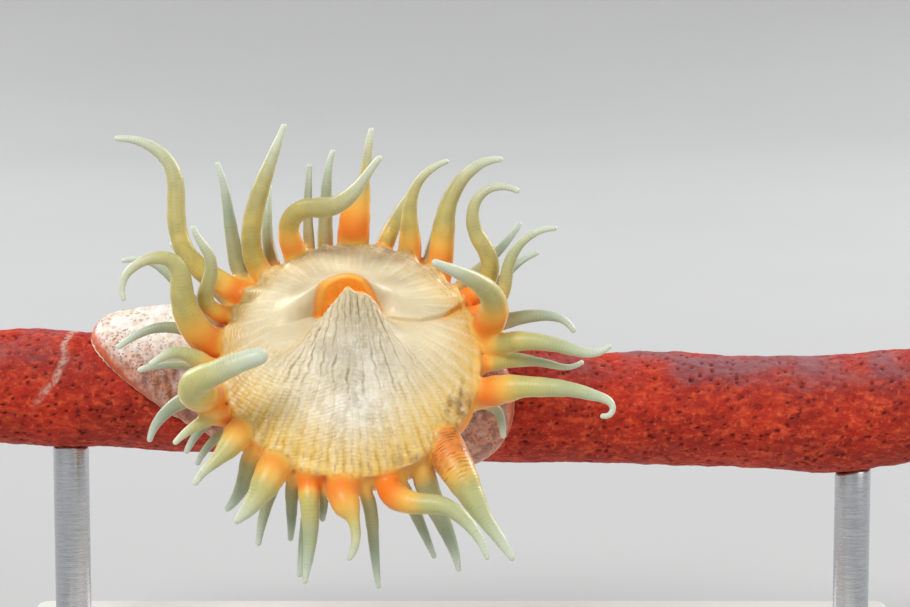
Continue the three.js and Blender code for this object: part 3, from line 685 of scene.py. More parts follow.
# The body's rows from the throat's floor to the middle of the foot: their part, columns, and shares.
BODY_ROWS = [
    ("throat", 1, [1]),
    ("throat", 192, [0.93, 0.8, 0.67, 0.54, 0.42, 0.31, 0.22, 0.15, 0.11, 0.07, 0.035, 0.01]),
    ("disc", 384, [*np.linspace(0, 0.29, 32), *np.linspace(0.3, 1, 78)]),
    ("margin", 384, np.linspace(0.03, 1, 13)),
    ("column", 192, np.linspace(0.05, 0.96, 20)),
    ("foot", 384, [*np.linspace(0.58, 0.94, 24), 0.955, 0.968, 0.98, 0.99, 0.997, 1]),
    ("under", 192, [0.985, 0.93, 0.8, 0.65, 0.5, 0.35, 0.2]),
    ("under", 1, [0]),
]


def matched(values, count):
    """A ring's values at as many points, at every second one, or with the middles between them."""
    if len(values) < count:
        values = np.repeat(values, 2, axis=0)
        values = (values + np.roll(values, -1, axis=0)) / 2
    return values[::2] if len(values) > count else values


class Body:
    """The smooth form of the body, and what is known of each of its points.

    on: which points are on each part. angle: the place round the mouth. share: the place from the inner edge
    of the part to the outer. reach: how far it is from the lips over the surface, in mm. soft, coarse and
    wide: unevenness of three sizes that the relief and the colours share."""

    def __init__(self):
        rings, part, angle, share, reach = [], [], [], [], []
        before = None
        for name, columns, shares in BODY_ROWS:
            turn = round_angles(columns)
            for q in shares:
                ring, walked = PART_POINT[name](turn, q), np.zeros(columns)
                if before and columns > 1:
                    old, old_walked = (matched(values, columns) for values in before)
                    walked = old_walked + np.linalg.norm(ring - old, axis=1)
                if name != "throat":
                    before = ring, walked
                rings.append(ring)
                part += [name] * columns
                angle.append(turn)
                share += [q] * columns
                reach.append(walked)
        self.points, self.faces = loft(rings)
        self.on = {name: np.array(part) == name for name in PART_POINT}
        self.angle, self.share, self.reach = np.concatenate(angle), np.array(share), np.concatenate(reach)
        self.degrees = np.degrees(self.angle) % 360
        self.up, self.right = np.sin(self.angle), np.cos(self.angle)
        self.x, self.y = self.points[:, 0], self.points[:, 1]
        self.soft, self.coarse, self.wide = (
            mottle(self.points, seed, scale) for seed, scale in ((3, 1.1), (5, 3.2), (7, 6)))


# ---------------- relief and marks of the body


def off_line(body, line):
    """How far points lie above or below (-) a line across the front view, and how far along it, 0 to 1."""
    line = np.array(line, float)
    best = np.full(len(body.points), np.inf)
    side, share = np.zeros(len(best)), np.zeros(len(best))
    for k in range(len(line) - 1):
        way = line[k + 1] - line[k]
        t = np.clip(((body.points[:, :2] - line[k]) @ way) / (way @ way), 0, 1)
        gap = body.points[:, :2] - (line[k] + t[:, None] * way)
        far = np.hypot(*gap.T)
        closer = far < best
        best = np.where(closer, far, best)
        side = np.where(closer, np.sign(way[0] * gap[:, 1] - way[1] * gap[:, 0]), side)
        share = np.where(closer, (k + t) / (len(line) - 1), share)
    return best * side, share


def right_fold(body):
    """How far points lie off the right fold, and how strongly it holds there."""
    off, far = off_line(body, RIGHT_FOLD)
    return off, smooth(far, 0, 0.15) * smooth(body.x, 2.2, 3.2) * body.on["disc"]


def left_fold(body):
    off, far = off_line(body, LEFT_FOLD)
    return window(far, 0, 0.12, 0.75, 1) * (body.x < -2) * bell(off, 0, 0.42) * body.on["disc"]


def knobs(body):
    """Where small white knobs stand on the foot, by the column."""
    return bell(body.x, -13.5, 0.7) * bell(body.y, -1.9, 1.2) * body.on["foot"]


def near_side(body):
    return window(body.degrees, 205, 225, 318, 336)


# Each relief gives how far it raises each point of the body in mm, and how deep in a valley the point lies.
# The finish darkens the valleys as painted shade. A lift gives only the first.


def cone_ridges(body, depth):
    """Beaded ridges down the near side of the mouth's cone, finer further out."""
    inner, outer, fine = (count * body.angle for count in CONE_RIDGES)
    wander = 0.9 * body.soft + 1.3 * body.coarse
    outward = smooth(body.share, 0.16, 0.34)
    flank = near_side(body) * window(body.share, 0, 0.03, 0.42, 0.66) * body.on["disc"]
    strong = lerp(np.cos(inner + wander), np.cos(outer + 1.3 * wander), outward)
    strong = strong * (0.75 + 0.35 * body.coarse) + 0.35 * np.cos(fine + 1.6 * wander)
    beads = np.cos(2 * math.pi * body.reach / BEAD_GAP + 2.6 * np.sin(14 * body.angle) + 1.8 * body.soft)
    lift = depth * flank * lerp(1, 0.5, outward) * (strong + 0.3 * beads)
    # The second value is painted shade in the grooves between the ridges.
    return lift, 0.85 * flank * smooth(-strong, 0.3, 1.05)


def disc_wrinkles(body, depth, gap):
    """Radial creases, brickwork and rings of fine wrinkles, and broad lobes towards the margin."""
    share, up, right, disc = body.share, body.up, body.right, body.on["disc"]
    wander = 0.9 * body.soft + 1.3 * body.coarse
    walked = math.pi * body.reach / gap
    low, outward = smooth(-up, 0, 0.6), smooth(share, 0.5, 0.8)
    creases = np.cos(DISC_CREASES * body.angle + lerp(1.5, 0.7, outward) * wander)
    bricks = np.cos(DISC_CREASES / 2 * body.angle + 0.8 * wander) * np.cos(walked + body.soft)
    rings = np.cos(2 * walked + 1.6 * body.soft + 0.8 * body.coarse)
    held = 0.3 + 0.7 * low * (1 - 0.5 * smooth(right, 0.5, 0.9))
    held = held * smooth(share, 0.15, 0.5) * (0.7 + 0.4 * body.coarse)
    left = smooth(-right, 0.55, 0.9) * smooth(share, 0.7, 0.86)
    lobes = np.cos(DISC_LOBES * body.angle + 0.9 * body.wide) * smooth(share, 0.55, 1)
    lift = depth * held * (lerp(0.4, 1.4, outward) * creases + 0.9 * bricks + lerp(0.8, 0.5, low) * rings)
    lift += lobes * (0.05 + 0.1 * smooth(-right, 0.2, 0.8)) * (1 - low)
    lift += 0.06 * body.wide * smooth(share, 0.3, 0.6) + 0.02 * left * rings
    lower = smooth(share, 0.7, 0.92) * smooth(-up, 0.25, 0.7) * (0.75 + 0.4 * body.soft)
    upper = smooth(share, 0.62, 0.9) * (1 - smooth(-up, -0.5, 0.3))
    # The valley is painted shade in the creases and in the hollows of the wrinkles.
    valley_shade = most(
        0.7 * lower * smooth(-creases, 0.3, 1), 0.5 * upper * smooth(-creases * rings, 0.1, 0.8),
        0.4 * left * smooth(-rings, 0.2, 0.9))
    return lift * disc, valley_shade * disc


def disc_folds(body):
    """The two folds of the disc, and a crumple at the lower right of its margin."""
    off, held = right_fold(body)
    above = np.where(off > 0, 0.34 * np.exp(-np.maximum(off, 0) / 1.5) * smooth(off, 0, 0.14), 0)
    crumple = bell(body.degrees, CRUMPLE_AT, 12) * smooth(body.share, 0.78, 0.88) * body.on["disc"]
    crinkled = mottle(body.points, 11, 0.6)
    lift = held * (above - 0.13 * bell(off, 0, 0.2)) - 0.2 * left_fold(body) + 0.1 * crumple * crinkled
    # The second value is painted shade in the hollows of the crumple.
    return lift, 0.9 * crumple * smooth(-crinkled, 0.1, 0.8)


def rim_relief(body):
    """The rolled rim, and creases in it to each side of every large tentacle."""
    share, disc, margin = body.share, body.on["disc"], body.on["margin"]
    creases = np.zeros(len(share))
    for shape in LARGE:
        width = 5.5 + shape["wide"][0]
        for side in (-1, 1):
            creases += near_angle(body.angle, shape["clock"] + side * width, 1.9)
    creases = np.minimum(creases, 1)
    lobed = creases * smooth(-body.right, 0.2, 0.7) * disc
    rim = disc * smooth(share, 0.86, 1) + margin * (1 - smooth(share, 0.2, 0.8))
    lift = rim * (0.08 * mottle(body.points, 17, 1.6) - 0.2 * creases)
    lift += disc * 0.16 * smooth(share, 0.92, 0.985) - 0.16 * lobed * smooth(share, 0.7, 0.95)
    lift += margin * (0.16 * (1 - smooth(share, 0, 0.12)) - 0.34 * bell(share, 0.3, 0.15))
    # The second value is painted shade in the creases of the lobed rim.
    return lift, 0.5 * lobed * smooth(share, 0.74, 0.98)


def mouth_and_column_lift(body):
    """Uneven lips, a faintly pleated throat, and a column with low pleats."""
    share, throat = body.share, body.on["throat"]
    bulging = np.sin(math.pi * share)
    lips = throat * (1 - smooth(share, 0, 0.1)) + body.on["disc"] * (1 - smooth(share, 0, 0.03))
    lift = throat * (0.025 * np.cos(22 * body.angle + 0.6 * body.soft) + 0.05 * body.soft) * bulging
    lift += 0.06 * lips * mottle(body.points, 29, 0.8) * near_side(body)
    return lift + body.on["column"] * (0.08 * np.cos(48 * body.angle) + 0.1 * body.coarse) * bulging


def foot_relief(body):
    """Pleats where the foot is drawn out to the left, with grain, rolls, knobs and a finely scored edge."""
    share, foot = body.share, body.on["foot"]
    drawn = bell(body.x, -15, 2.2) * smooth(-body.y, -1.8, 0.2)
    across = (body.x + 0.25 * body.y) / 0.95
    pleats = np.cos(2 * math.pi * across + 1.8 * body.coarse + 0.7 * body.soft)
    grain, rolls, lumps = (mottle(body.points, *wanted) for wanted in ((41, 0.6), (43, 1.5), (61, 0.8)))
    lift = lerp(0.03, 0.12, drawn) * pleats + 0.05 * body.coarse + 0.028 * grain + 0.035 * rolls
    lift = lift * (1 - smooth(share, 0.95, 1))
    lift += 0.02 * np.cos(90 * body.angle + 2 * body.coarse) * smooth(share, 0.9, 0.97)
    # The valley is painted shade in the hollows of the pleats.
    valley_shade = lerp(0.4, 0.9, drawn) * smooth(-pleats - 0.6 * grain, 0.3, 1.2)
    return foot * lift + 0.3 * knobs(body) * np.maximum(lumps, 0), foot * valley_shade


def body_relief(body, settings):
    """All of the reliefs at once."""
    lifts, valley_shades = zip(
        cone_ridges(body, settings.ridge_depth / MM),
        disc_wrinkles(body, settings.wrinkle_depth / MM, settings.wrinkle_gap / MM),
        disc_folds(body), rim_relief(body), foot_relief(body))
    return sum(lifts) + mouth_and_column_lift(body), np.clip(most(*valley_shades), 0, 1)


def mark_table(count, **values):
    """What the finish reads at each of a count of points, in the order of CARRIED and 0 if not given."""
    table = np.zeros((count, len(CARRIED)))
    for name, value in values.items():
        table[:, CARRIED.index(name)] = value
    return table


def body_marks(body, valley_shade):
    disc, margin, column = body.on["disc"], body.on["margin"], body.on["column"]
    clasp = body.on["foot"] | body.on["under"]
    share, up, right, x, y, soft, wide = body.share, body.up, body.right, body.x, body.y, body.soft, body.wide
    roots = [margin * (0.55 + 0.25 * wide + 0.2 * np.maximum(-right, 0))]
    roots.append(0.35 * column * (1 - smooth(share, 0, 0.3)))
    for shape in LARGE:
        off_root = np.linalg.norm(body.points - root_point(shape["clock"], 1.02, 0.5), axis=1)
        roots.append((0.35 + 1.3 * shape["glow"]) * bell(off_root, 0, 0.75 + 0.4 * shape["wide"][0]))
    off, held = right_fold(body)
    glow = most(
        most(*roots) * np.where(disc, 0.7 * smooth(share, 0.94, 1), 1),
        0.34 * disc * smooth(share, 0.84, 1) * smooth(right, 0.75, 0.97) * (0.8 + 0.3 * soft),
        # Orange along the two folds is painted shade in them.
        held * bell(off, -0.1, 0.32) * (0.12 + 0.7 * smooth(x, 6.5, 9.5)),
        0.16 * left_fold(body),
        0.2 * disc * (1 - smooth(share, 0, 0.012)))
    yellow = disc * most(
        smooth(-up, -0.15, 0.75) * smooth(share, 0.42, 0.95),
        0.7 * smooth(-right, 0.2, 0.9) * smooth(share, 0.62, 1),
        0.85 * smooth(right, 0.4, 0.95) * smooth(share, 0.5, 1))
    patch = bell(body.degrees, CRUMPLE_AT, 11) * smooth(share, 0.8, 0.9)
    patch += 0.6 * bell(body.degrees, 296, 12) * smooth(share, 0.84, 0.95)
    brown = disc * most(
        0.75 * smooth(up, 0.2, 0.7) * smooth(share, 0.6, 1) * (0.75 + 0.35 * wide),
        np.minimum(patch, 1) * (0.75 + 0.3 * soft))
    grey = bell(x, 0.3, 3.6) * bell(y, -1.8, 4.6) * (y < 6) * disc * (1.05 + 0.3 * wide)
    # The foot's brown flush grows towards its lower part; on its right-hand part it is painted shade.
    flush = most(
        smooth(-y, -2.2, 1.6) * smooth(share, 0.15, 0.5) * (0.95 + 0.1 * soft),
        0.6 * smooth(x, 7, 11))
    # The reliefs' valleys go to the finish as painted shade in the creases.
    return mark_table(
        len(share), glow=np.clip(glow, 0, 1), yellow=np.clip(yellow, 0, 1), brown=np.clip(brown, 0, 1),
        grey=most(np.clip(grey, 0, 1), knobs(body)), flush=clasp * flush, fold=valley_shade,
        throat=body.on["throat"], disc=disc, foot=most(clasp, column * smooth(share, 0.5, 1.05)),
        reach=body.reach, share=np.where(body.on["under"], 1, share), turn_cos=right, turn_sin=up)


# ---------------- tentacles


def root_point(clock, out, down):
    """A place at a clock angle in degrees, out by a share of the disc's size and down in mm."""
    a = math.radians(clock)
    return disc_point(DISC_WIDE * out * math.cos(a), DISC_HIGH * out * math.sin(a), -down)[0]


def tentacle_width(shape, s):
    if "wide" in shape:
        return along(shape["wide"], s)
    return lerp(shape["thick"], SMALL_TIP, s ** SMALL_FULL)


def tentacle_line(shape, settings, number):
    """A tentacle's middle line: its points, radii, shares of its length and distances from its root."""
    row, length = ROOTS["large" if "wide" in shape else "small"], shape["long"]
    step, tip_width = settings.ring_step / MM, settings.tip_width / MM
    start = root_point(shape["clock"], row["out"] * shape.get("out", 1), row["down"])
    middles = (np.arange(LINE_STEPS) + 0.5) / LINE_STEPS
    head, lean = (np.radians(along(shape[key], middles)) for key in ("head", "lean"))
    ways = np.stack([np.cos(lean) * np.cos(head), np.cos(lean) * np.sin(head), np.sin(lean)], axis=1)
    walked = np.vstack([start, start + np.cumsum(ways, axis=0) * length / LINE_STEPS])
    base = float(tentacle_width(shape, np.array(0.0))) / 2
    tip = max(float(tentacle_width(shape, np.array(1.0))), tip_width) / 2
    straight, sunk = length - tip, 0.75 * base
    body = np.linspace(0, straight, max(4, round(straight / step)))
    middle = body * (straight + sunk) / straight - sunk
    reach = np.concatenate([-sunk - base * np.cos(ROOT_CAP), middle, straight + tip * np.sin(TIP_CAP)])
    s = np.clip(reach / length, 0, 1)
    steps = np.arange(LINE_STEPS + 1)
    place = np.stack([np.interp(s * LINE_STEPS, steps, column) for column in walked.T], axis=1)
    place += np.minimum(reach, 0)[:, None] * ways[0]
    sink = shape.get("sink", row["sink"]) * base * (1 - smooth(s, 0, 0.32))
    place += sink[:, None] * disc_point(0, 0, -1)
    radius = np.maximum(tentacle_width(shape, s), tip_width) / 2
    radius[:len(ROOT_CAP)] *= np.sin(ROOT_CAP)
    radius[-len(TIP_CAP):] *= np.cos(TIP_CAP)
    shifts = np.random.RandomState(100 + number).uniform(0, 2 * math.pi, len(SWELLS))
    swell = sum(np.sin(2 * math.pi * reach / period + shift) for period, shift in zip(SWELLS, shifts))
    radius *= 1 + 0.012 * swell * smooth(s, 0.05, 0.2)
    return place, radius, s, reach


def tentacle_marks(shape, s, reach):
    a, glow, small = math.radians(shape["clock"]), shape.get("glow", 0.12), "thick" in shape
    return mark_table(
        len(s), tentacle=1, small=small, cool=shape.get("cool", 0.85) * smooth(s, 0.16, 0.64),
        pale=smooth(s, 0.55, 1), glow=(1 - smooth(s, glow * 0.15, glow * 1.35)) * (0.4 if small else 1),
        brown=shape.get("stained", 0) * (1 - smooth(s, 0.1, 0.5)),
        reach=reach, share=s, turn_cos=math.cos(a), turn_sin=math.sin(a))


def tentacle_lines(settings):
    """A mesh of the tentacles' middle lines, with their radii, numbers and marks."""
    places, edges, marks, radii, numbers = [], [], [], [], []
    for number, shape in enumerate(LARGE + SMALL):
        place, radius, s, reach = tentacle_line(shape, settings, number)
        edges += [(len(numbers) + i, len(numbers) + i + 1) for i in range(len(place) - 1)]
        numbers += [number] * len(place)
        places.append(place)
        radii.append(radius)
        marks.append(tentacle_marks(shape, s, reach))
    mesh = mesh_of("tentacle_lines", in_row(np.concatenate(places)), [], edges)
    store(mesh, "radius_here", np.concatenate(radii) * MM)
    store(mesh, "number", numbers, "INT")
    store_marks(mesh, np.concatenate(marks))
    return mesh


def tube_tree():
    """Sweeps a circle along each line at its stored radius, and can join the tubes to the body."""
    nodes, given = new_tree("Tentacle Tubes", {
        "Lines": "Geometry", "Body": "Object", "Sides": "Int", "Joined": "Bool", "Skin": "Material"})
    curve = nodes.first("GeometryNodeMeshToCurve", {"Mesh": given["Lines"]})
    circle = nodes.first("GeometryNodeCurvePrimitiveCircle", {"Resolution": given["Sides"], "Radius": 1.0})
    radius = nodes.first("GeometryNodeInputNamedAttribute", {"Name": "radius_here"}, data_type="FLOAT")
    number = nodes.first("GeometryNodeInputNamedAttribute", {"Name": "number"}, data_type="INT")
    swept = nodes.first("GeometryNodeCurveToMesh", {
        "Curve": curve, "Profile Curve": circle, "Scale": radius, "Fill Caps": True})
    parted = nodes.first("GeometryNodeSplitToInstances", {"Geometry": swept, "Group ID": number})
    body = nodes.add("GeometryNodeObjectInfo", {"Object": given["Body"]}).outputs["Geometry"]
    union = nodes.add("GeometryNodeMeshBoolean", operation="UNION", solver="MANIFOLD")
    for solid in (body, parted):
        nodes.plug(union.inputs["Mesh 2"], solid)
    choice = nodes.first(
        "GeometryNodeSwitch", {"Switch": given["Joined"], "False": swept, "True": union.outputs[0]},
        input_type="GEOMETRY")
    return end_tree(nodes, choice, given["Skin"])


# ---------------- skin


def store_marks(mesh, marks):
    for k, name in enumerate(CARRIED):
        store(mesh, name, marks[:, k])


def build_skin(settings, material):
    """The body and every tentacle joined as one closed skin."""
    body = Body()
    lift, valley_shade = body_relief(body, settings)
    raised = body.points + normals_of(body.points, body.faces) * lift[:, None]
    form = new_object("body_form", mesh_of("body_form", in_row(raised), body.faces))
    lines = new_object("tentacle_lines", tentacle_lines(settings))
    tree, inputs = tube_tree(), {"Body": form, "Sides": settings.tube_sides, "Skin": material}
    tubes = run_tree(lines, tree, {**inputs, "Joined": False})
    skin = run_tree(lines, tree, {**inputs, "Joined": True})
    skin.name = "anemone_skin"
    known = np.concatenate([points_of(form.data), points_of(tubes)])
    tube_marks = np.stack([stored(tubes, name) for name in CARRIED], axis=1)
    clean_up(skin, tree_of(known))
    soften(skin, tree_of(known), np.concatenate([body_marks(body, valley_shade), tube_marks]), settings.blend_width)
    for leftover in (form, lines):
        bpy.data.objects.remove(leftover)
    return new_object("anemone_skin", skin)


def clean_up(skin, known):
    """Merges the slivers that the join leaves between known points, and closes the skin as one piece."""
    work = bmesh.new()
    work.from_mesh(skin)
    seam = [v for v in work.verts if known.find(v.co)[2] > SAME_POINT]
    bmesh.ops.remove_doubles(work, verts=seam, dist=SLIVER)
    bmesh.ops.dissolve_degenerate(work, edges=work.edges, dist=1e-7)
    bmesh.ops.triangulate(work, faces=work.faces)
    keep_largest(work)
    close_up(work)
    bmesh.ops.recalc_face_normals(work, faces=work.faces)
    work.to_mesh(skin)
    work.free()


def soften(skin, known, known_marks, width):
    """Eases the joints of tentacles and body over a width, and stores the marks that the finish reads."""
    places = points_of(skin)
    found = [known.find(p) for p in places.tolist()]
    marks = known_marks[[index for _, index, _ in found]]
    is_seam = np.array([off > SAME_POINT for _, _, off in found])
    pairs = np.zeros(len(skin.edges) * 2, np.int32)
    skin.edges.foreach_get("vertices", pairs)
    pairs = pairs.reshape(-1, 2)
    degree = np.bincount(pairs.ravel(), minlength=len(places))[:, None]

    def eased(values, weight, rounds):
        for _ in range(rounds):
            total = np.zeros_like(values)
            np.add.at(total, pairs[:, 0], values[pairs[:, 1]])
            np.add.at(total, pairs[:, 1], values[pairs[:, 0]])
            values = values + weight * (total / degree - values)
        return values

    seam = tree_of(places[is_seam])
    away = np.array([[seam.find(p)[2]] for p in places.tolist()])
    tints = slice(0, len(SOFTENED))
    marks[:, tints] = eased(marks[:, tints], 0.7 * bell(away, 0, 2 * width), 9)
    places = eased(places, 0.6 * bell(away, 0, width), 12)
    skin.vertices.foreach_set("co", places.astype(np.float32).ravel())
    skin.update()
    store_marks(skin, marks)


def close_up(work):
    """Removes the faces round any edge that isn't shared by exactly two and fills the small holes left."""
    for _ in range(6):
        odd = [e for e in work.edges if len(e.link_faces) != 2]
        if not odd:
            return
        around = {f for e in odd for v in e.verts for f in v.link_faces}
        bmesh.ops.delete(work, geom=list(around), context="FACES")
        bmesh.ops.delete(work, geom=[e for e in work.edges if not e.link_faces], context="EDGES")
        bmesh.ops.delete(work, geom=[v for v in work.verts if not v.link_edges], context="VERTS")
        rim = [e for e in work.edges if len(e.link_faces) == 1]
        bmesh.ops.holes_fill(work, edges=rim, sides=0)
        bmesh.ops.triangulate(work, faces=[f for f in work.faces if len(f.verts) > 3])
        keep_largest(work)


def keep_largest(work):
    """Deletes all but the largest connected piece of a mesh."""
    work.verts.ensure_lookup_table()
    seen, pieces = set(), []
    for v in work.verts:
        if v.index in seen:
            continue
        seen.add(v.index)
        stack, piece = [v], []
        while stack:
            here = stack.pop()
            piece.append(here)
            for edge in here.link_edges:
                other = edge.other_vert(here)
                if other.index not in seen:
                    seen.add(other.index)
                    stack.append(other)
        pieces.append(piece)
    for piece in sorted(pieces, key=len)[:-1]:
        bmesh.ops.delete(work, geom=piece, context="VERTS")


# ---------------- finishes


class SkinFinish(Finish):
    """The animal's finish, which reads the marks that its skin carries."""

    def __init__(self):
        super().__init__("anemone_skin")
        self.mark = {name: self.carried(name) for name in CARRIED}
        self.angle = self.maths("ARCTAN2", self.mark["turn_sin"], self.mark["turn_cos"])
        self.broad, self.soft, self.patchy = self.grain(180), self.grain(700), self.grain(1300, 2)
        self.fine = self.grain(3200, 4)
        self.spokes = self.wave(96, self.angle, 1.2)
        self.rings = self.wave(2 * math.pi / 0.3, self.mark["reach"], 1.8)
        self.hoops = self.times(
            self.wave(2 * math.pi / 0.27, self.mark["reach"], 2.0), self.between(self.patchy, 0.4, 0.65))
        self.low = self.between(self.mark["turn_sin"], 0.1, -0.6)

    def wave(self, rate, of, wobble):
        """A sine wave whose place wobbles softly."""
        wobbled = self.times(self.maths("SUBTRACT", self.soft, 0.5), 3.2, wobble)
        return self.maths("SINE", self.maths("MULTIPLY_ADD", of, rate, wobbled))

    def uneven(self, low, high, first, second):
        """One colour turning softly to another in soft spots."""
        return self.blend(self.between(self.soft, low, high), first, second)

    def disc_colour(self, cream):
        """Cream with painted shade in fine broken radial lines and cross wrinkles, and grey-white ridges below
        the mouth.
        """
        times, between = self.times, self.between
        grey, outward = self.mark["grey"], between(self.mark["share"], 0.3, 0.6)
        spokes, rings = between(self.spokes, -0.3, -1.0), between(self.rings, -0.3, -1.0)
        # The lines are painted shade of the disc's fine creases, stronger on the lower side.
        lines = times(
            self.maths("MAXIMUM", spokes, times(rings, 0.7)),
            self.maths("MAXIMUM", outward, times(grey, 0.7)),
            between(self.low, 0.0, 1.0, 0.5), between(self.patchy, 0.36, 0.66, 0.1))
        return self.paint(
            cream,
            (between(self.broad, 0.35, 0.65), "pale cream"),
            (self.mark["yellow"], "margin yellow"),
            (times(grey, 0.9), self.uneven(0.35, 0.65, "ridge grey", "ridge white")),
            (times(between(self.grain(2100, 2), 0.56, 0.72), grey, 0.5), "ridge fleck"),
            (times(lines, 0.45), LINE_SHADE, "MULTIPLY"),
            (times(between(self.wave(48, self.angle, 1.0), 0.2, 1.0), outward, 0.2), "pale streak"))

    def foot_colour(self):
        """White, flushed brown above and browner on its right as painted shade, with red-brown freckles and
        blots and a thin orange-red edge.
        """
        times, between, share = self.times, self.between, self.mark["share"]
        freckles = times(
            self.dots(3600, 0.46, 0.2), between(self.grain(520), 0.36, 0.54), between(share, 0.6, 0.86, 0.45))
        blots = times(self.dots(1900, 0.5, 0.2), between(share, 0.62, 0.9), between(self.soft, 0.4, 0.56))
        flush = self.blend(between(self.patchy, 0.4, 0.6), "flush dark", "flush pale")
        return self.paint(
            self.uneven(0.36, 0.64, "foot white", "foot pale"),
            (between(self.patchy, 0.56, 0.74, 0.0, 0.6), "foot patch"),
            (times(self.mark["flush"], 0.88), flush),
            (times(freckles, 0.8), "freckle"),
            (times(blots, 0.8), "blot"),
            (between(share, 0.9, 1.0, 0.0, 0.3), "edge wash"),
            (times(between(share, 0.962, 0.99), 0.85), "edge line"),
            (times(self.mark["grey"], 0.8), "knob"))

    def arm_colour(self):
        """Straw, more olive and darker on the upper arms, partly as painted shade, then mint and grey-green,
        with a pale tip and faint hoops.
        """
        times, between, mark = self.times, self.between, self.mark
        return self.paint(
            self.uneven(0.3, 0.7, "straw", "dull straw"),
            # The upper arms' duller, darker olive is partly painted shade.
            (between(mark["turn_sin"], -0.2, 0.6), self.uneven(0.3, 0.7, "olive straw", "dull olive")),
            (mark["cool"], self.uneven(0.3, 0.7, "cool mint", "cool green")),
            (times(mark["small"], 0.45), "small grey"),
            (times(mark["pale"], 0.75), "tip pale"),
            (times(between(self.hoops, 0.0, 0.9), 0.15), "hoop"))

    def throat_colour(self):
        # The throat's oranges are painted lighter than its own orange, as painted light in the deep cavity, and
        # a little darker deeper down as painted shade.
        share = self.mark["share"]
        walls = self.blend(self.between(share, 0.1, 0.9), "throat amber", "throat deep")
        return self.blend(self.between(share, 0.02, 0.0), walls, "throat rim")

    def height(self):
        """Hoops, disc lines, grain and the foot's patches as one height."""
        held = self.between(self.low, 0.0, 1.0, 0.35)
        lines = self.times(self.maths("ADD", self.spokes, self.rings), self.mark["disc"], held)
        height = self.times(self.hoops, self.mark["tentacle"], 0.2)
        lumps = self.times(self.patchy, self.mark["foot"])
        for form, share in ((lines, 0.25), (self.fine, 0.8), (lumps, 3.0)):
            height = self.maths("MULTIPLY_ADD", form, share, height)
        return height


def skin_material(settings):
    finish = SkinFinish()
    times, between, mark, patchy = finish.times, finish.between, finish.mark, finish.patchy
    stain = times(
        mark["brown"], between(mark["tentacle"], 0.0, 1.0, 0.8, 0.5), between(finish.soft, 0.36, 0.56, 0.35))
    # Dark bars across a stained root are painted shade of its wrinkles, darkened like the folds.
    barred = between(finish.wave(2 * math.pi / 0.3, mark["reach"], 4.0), 0.0, 0.9)
    bars = times(mark["tentacle"], mark["brown"], barred, between(patchy, 0.4, 0.62))
    colour = finish.paint(
        finish.blend(finish.broad, "buff", "dull buff"),
        (mark["disc"], finish.disc_colour(tuple(settings.cream))),
        (mark["foot"], finish.foot_colour()),
        (mark["tentacle"], finish.arm_colour()),
        (between(mark["glow"], 0.0, 0.55), "amber"),
        (between(mark["glow"], 0.4, 0.95), tuple(settings.orange)),
        (stain, finish.uneven(0.4, 0.62, "stain", "dark stain")),
        (bars, FOLD_SHADE, "MULTIPLY"),
        # Painted shade: the skin is darkened in the valleys of its creases, pleats and folds.
        (times(mark["fold"], between(patchy, 0.3, 0.6, 0.5, 0.95)), FOLD_SHADE, "MULTIPLY"),
        (mark["throat"], finish.throat_colour()))
    return finish.made({
        "Base Color": colour, "Roughness": between(finish.fine, 0.3, 0.7, 0.3, 0.44), "IOR": 1.38,
        "Subsurface Weight": 0.35, "Subsurface Radius": (1.0, 0.62, 0.34), "Subsurface Scale": 0.7 * MM,
        "Sheen Weight": 0.8, "Sheen Roughness": 0.25, "Sheen Tint": (1.0, 0.95, 0.74),
    }, finish.height(), 0.03, 0.7)


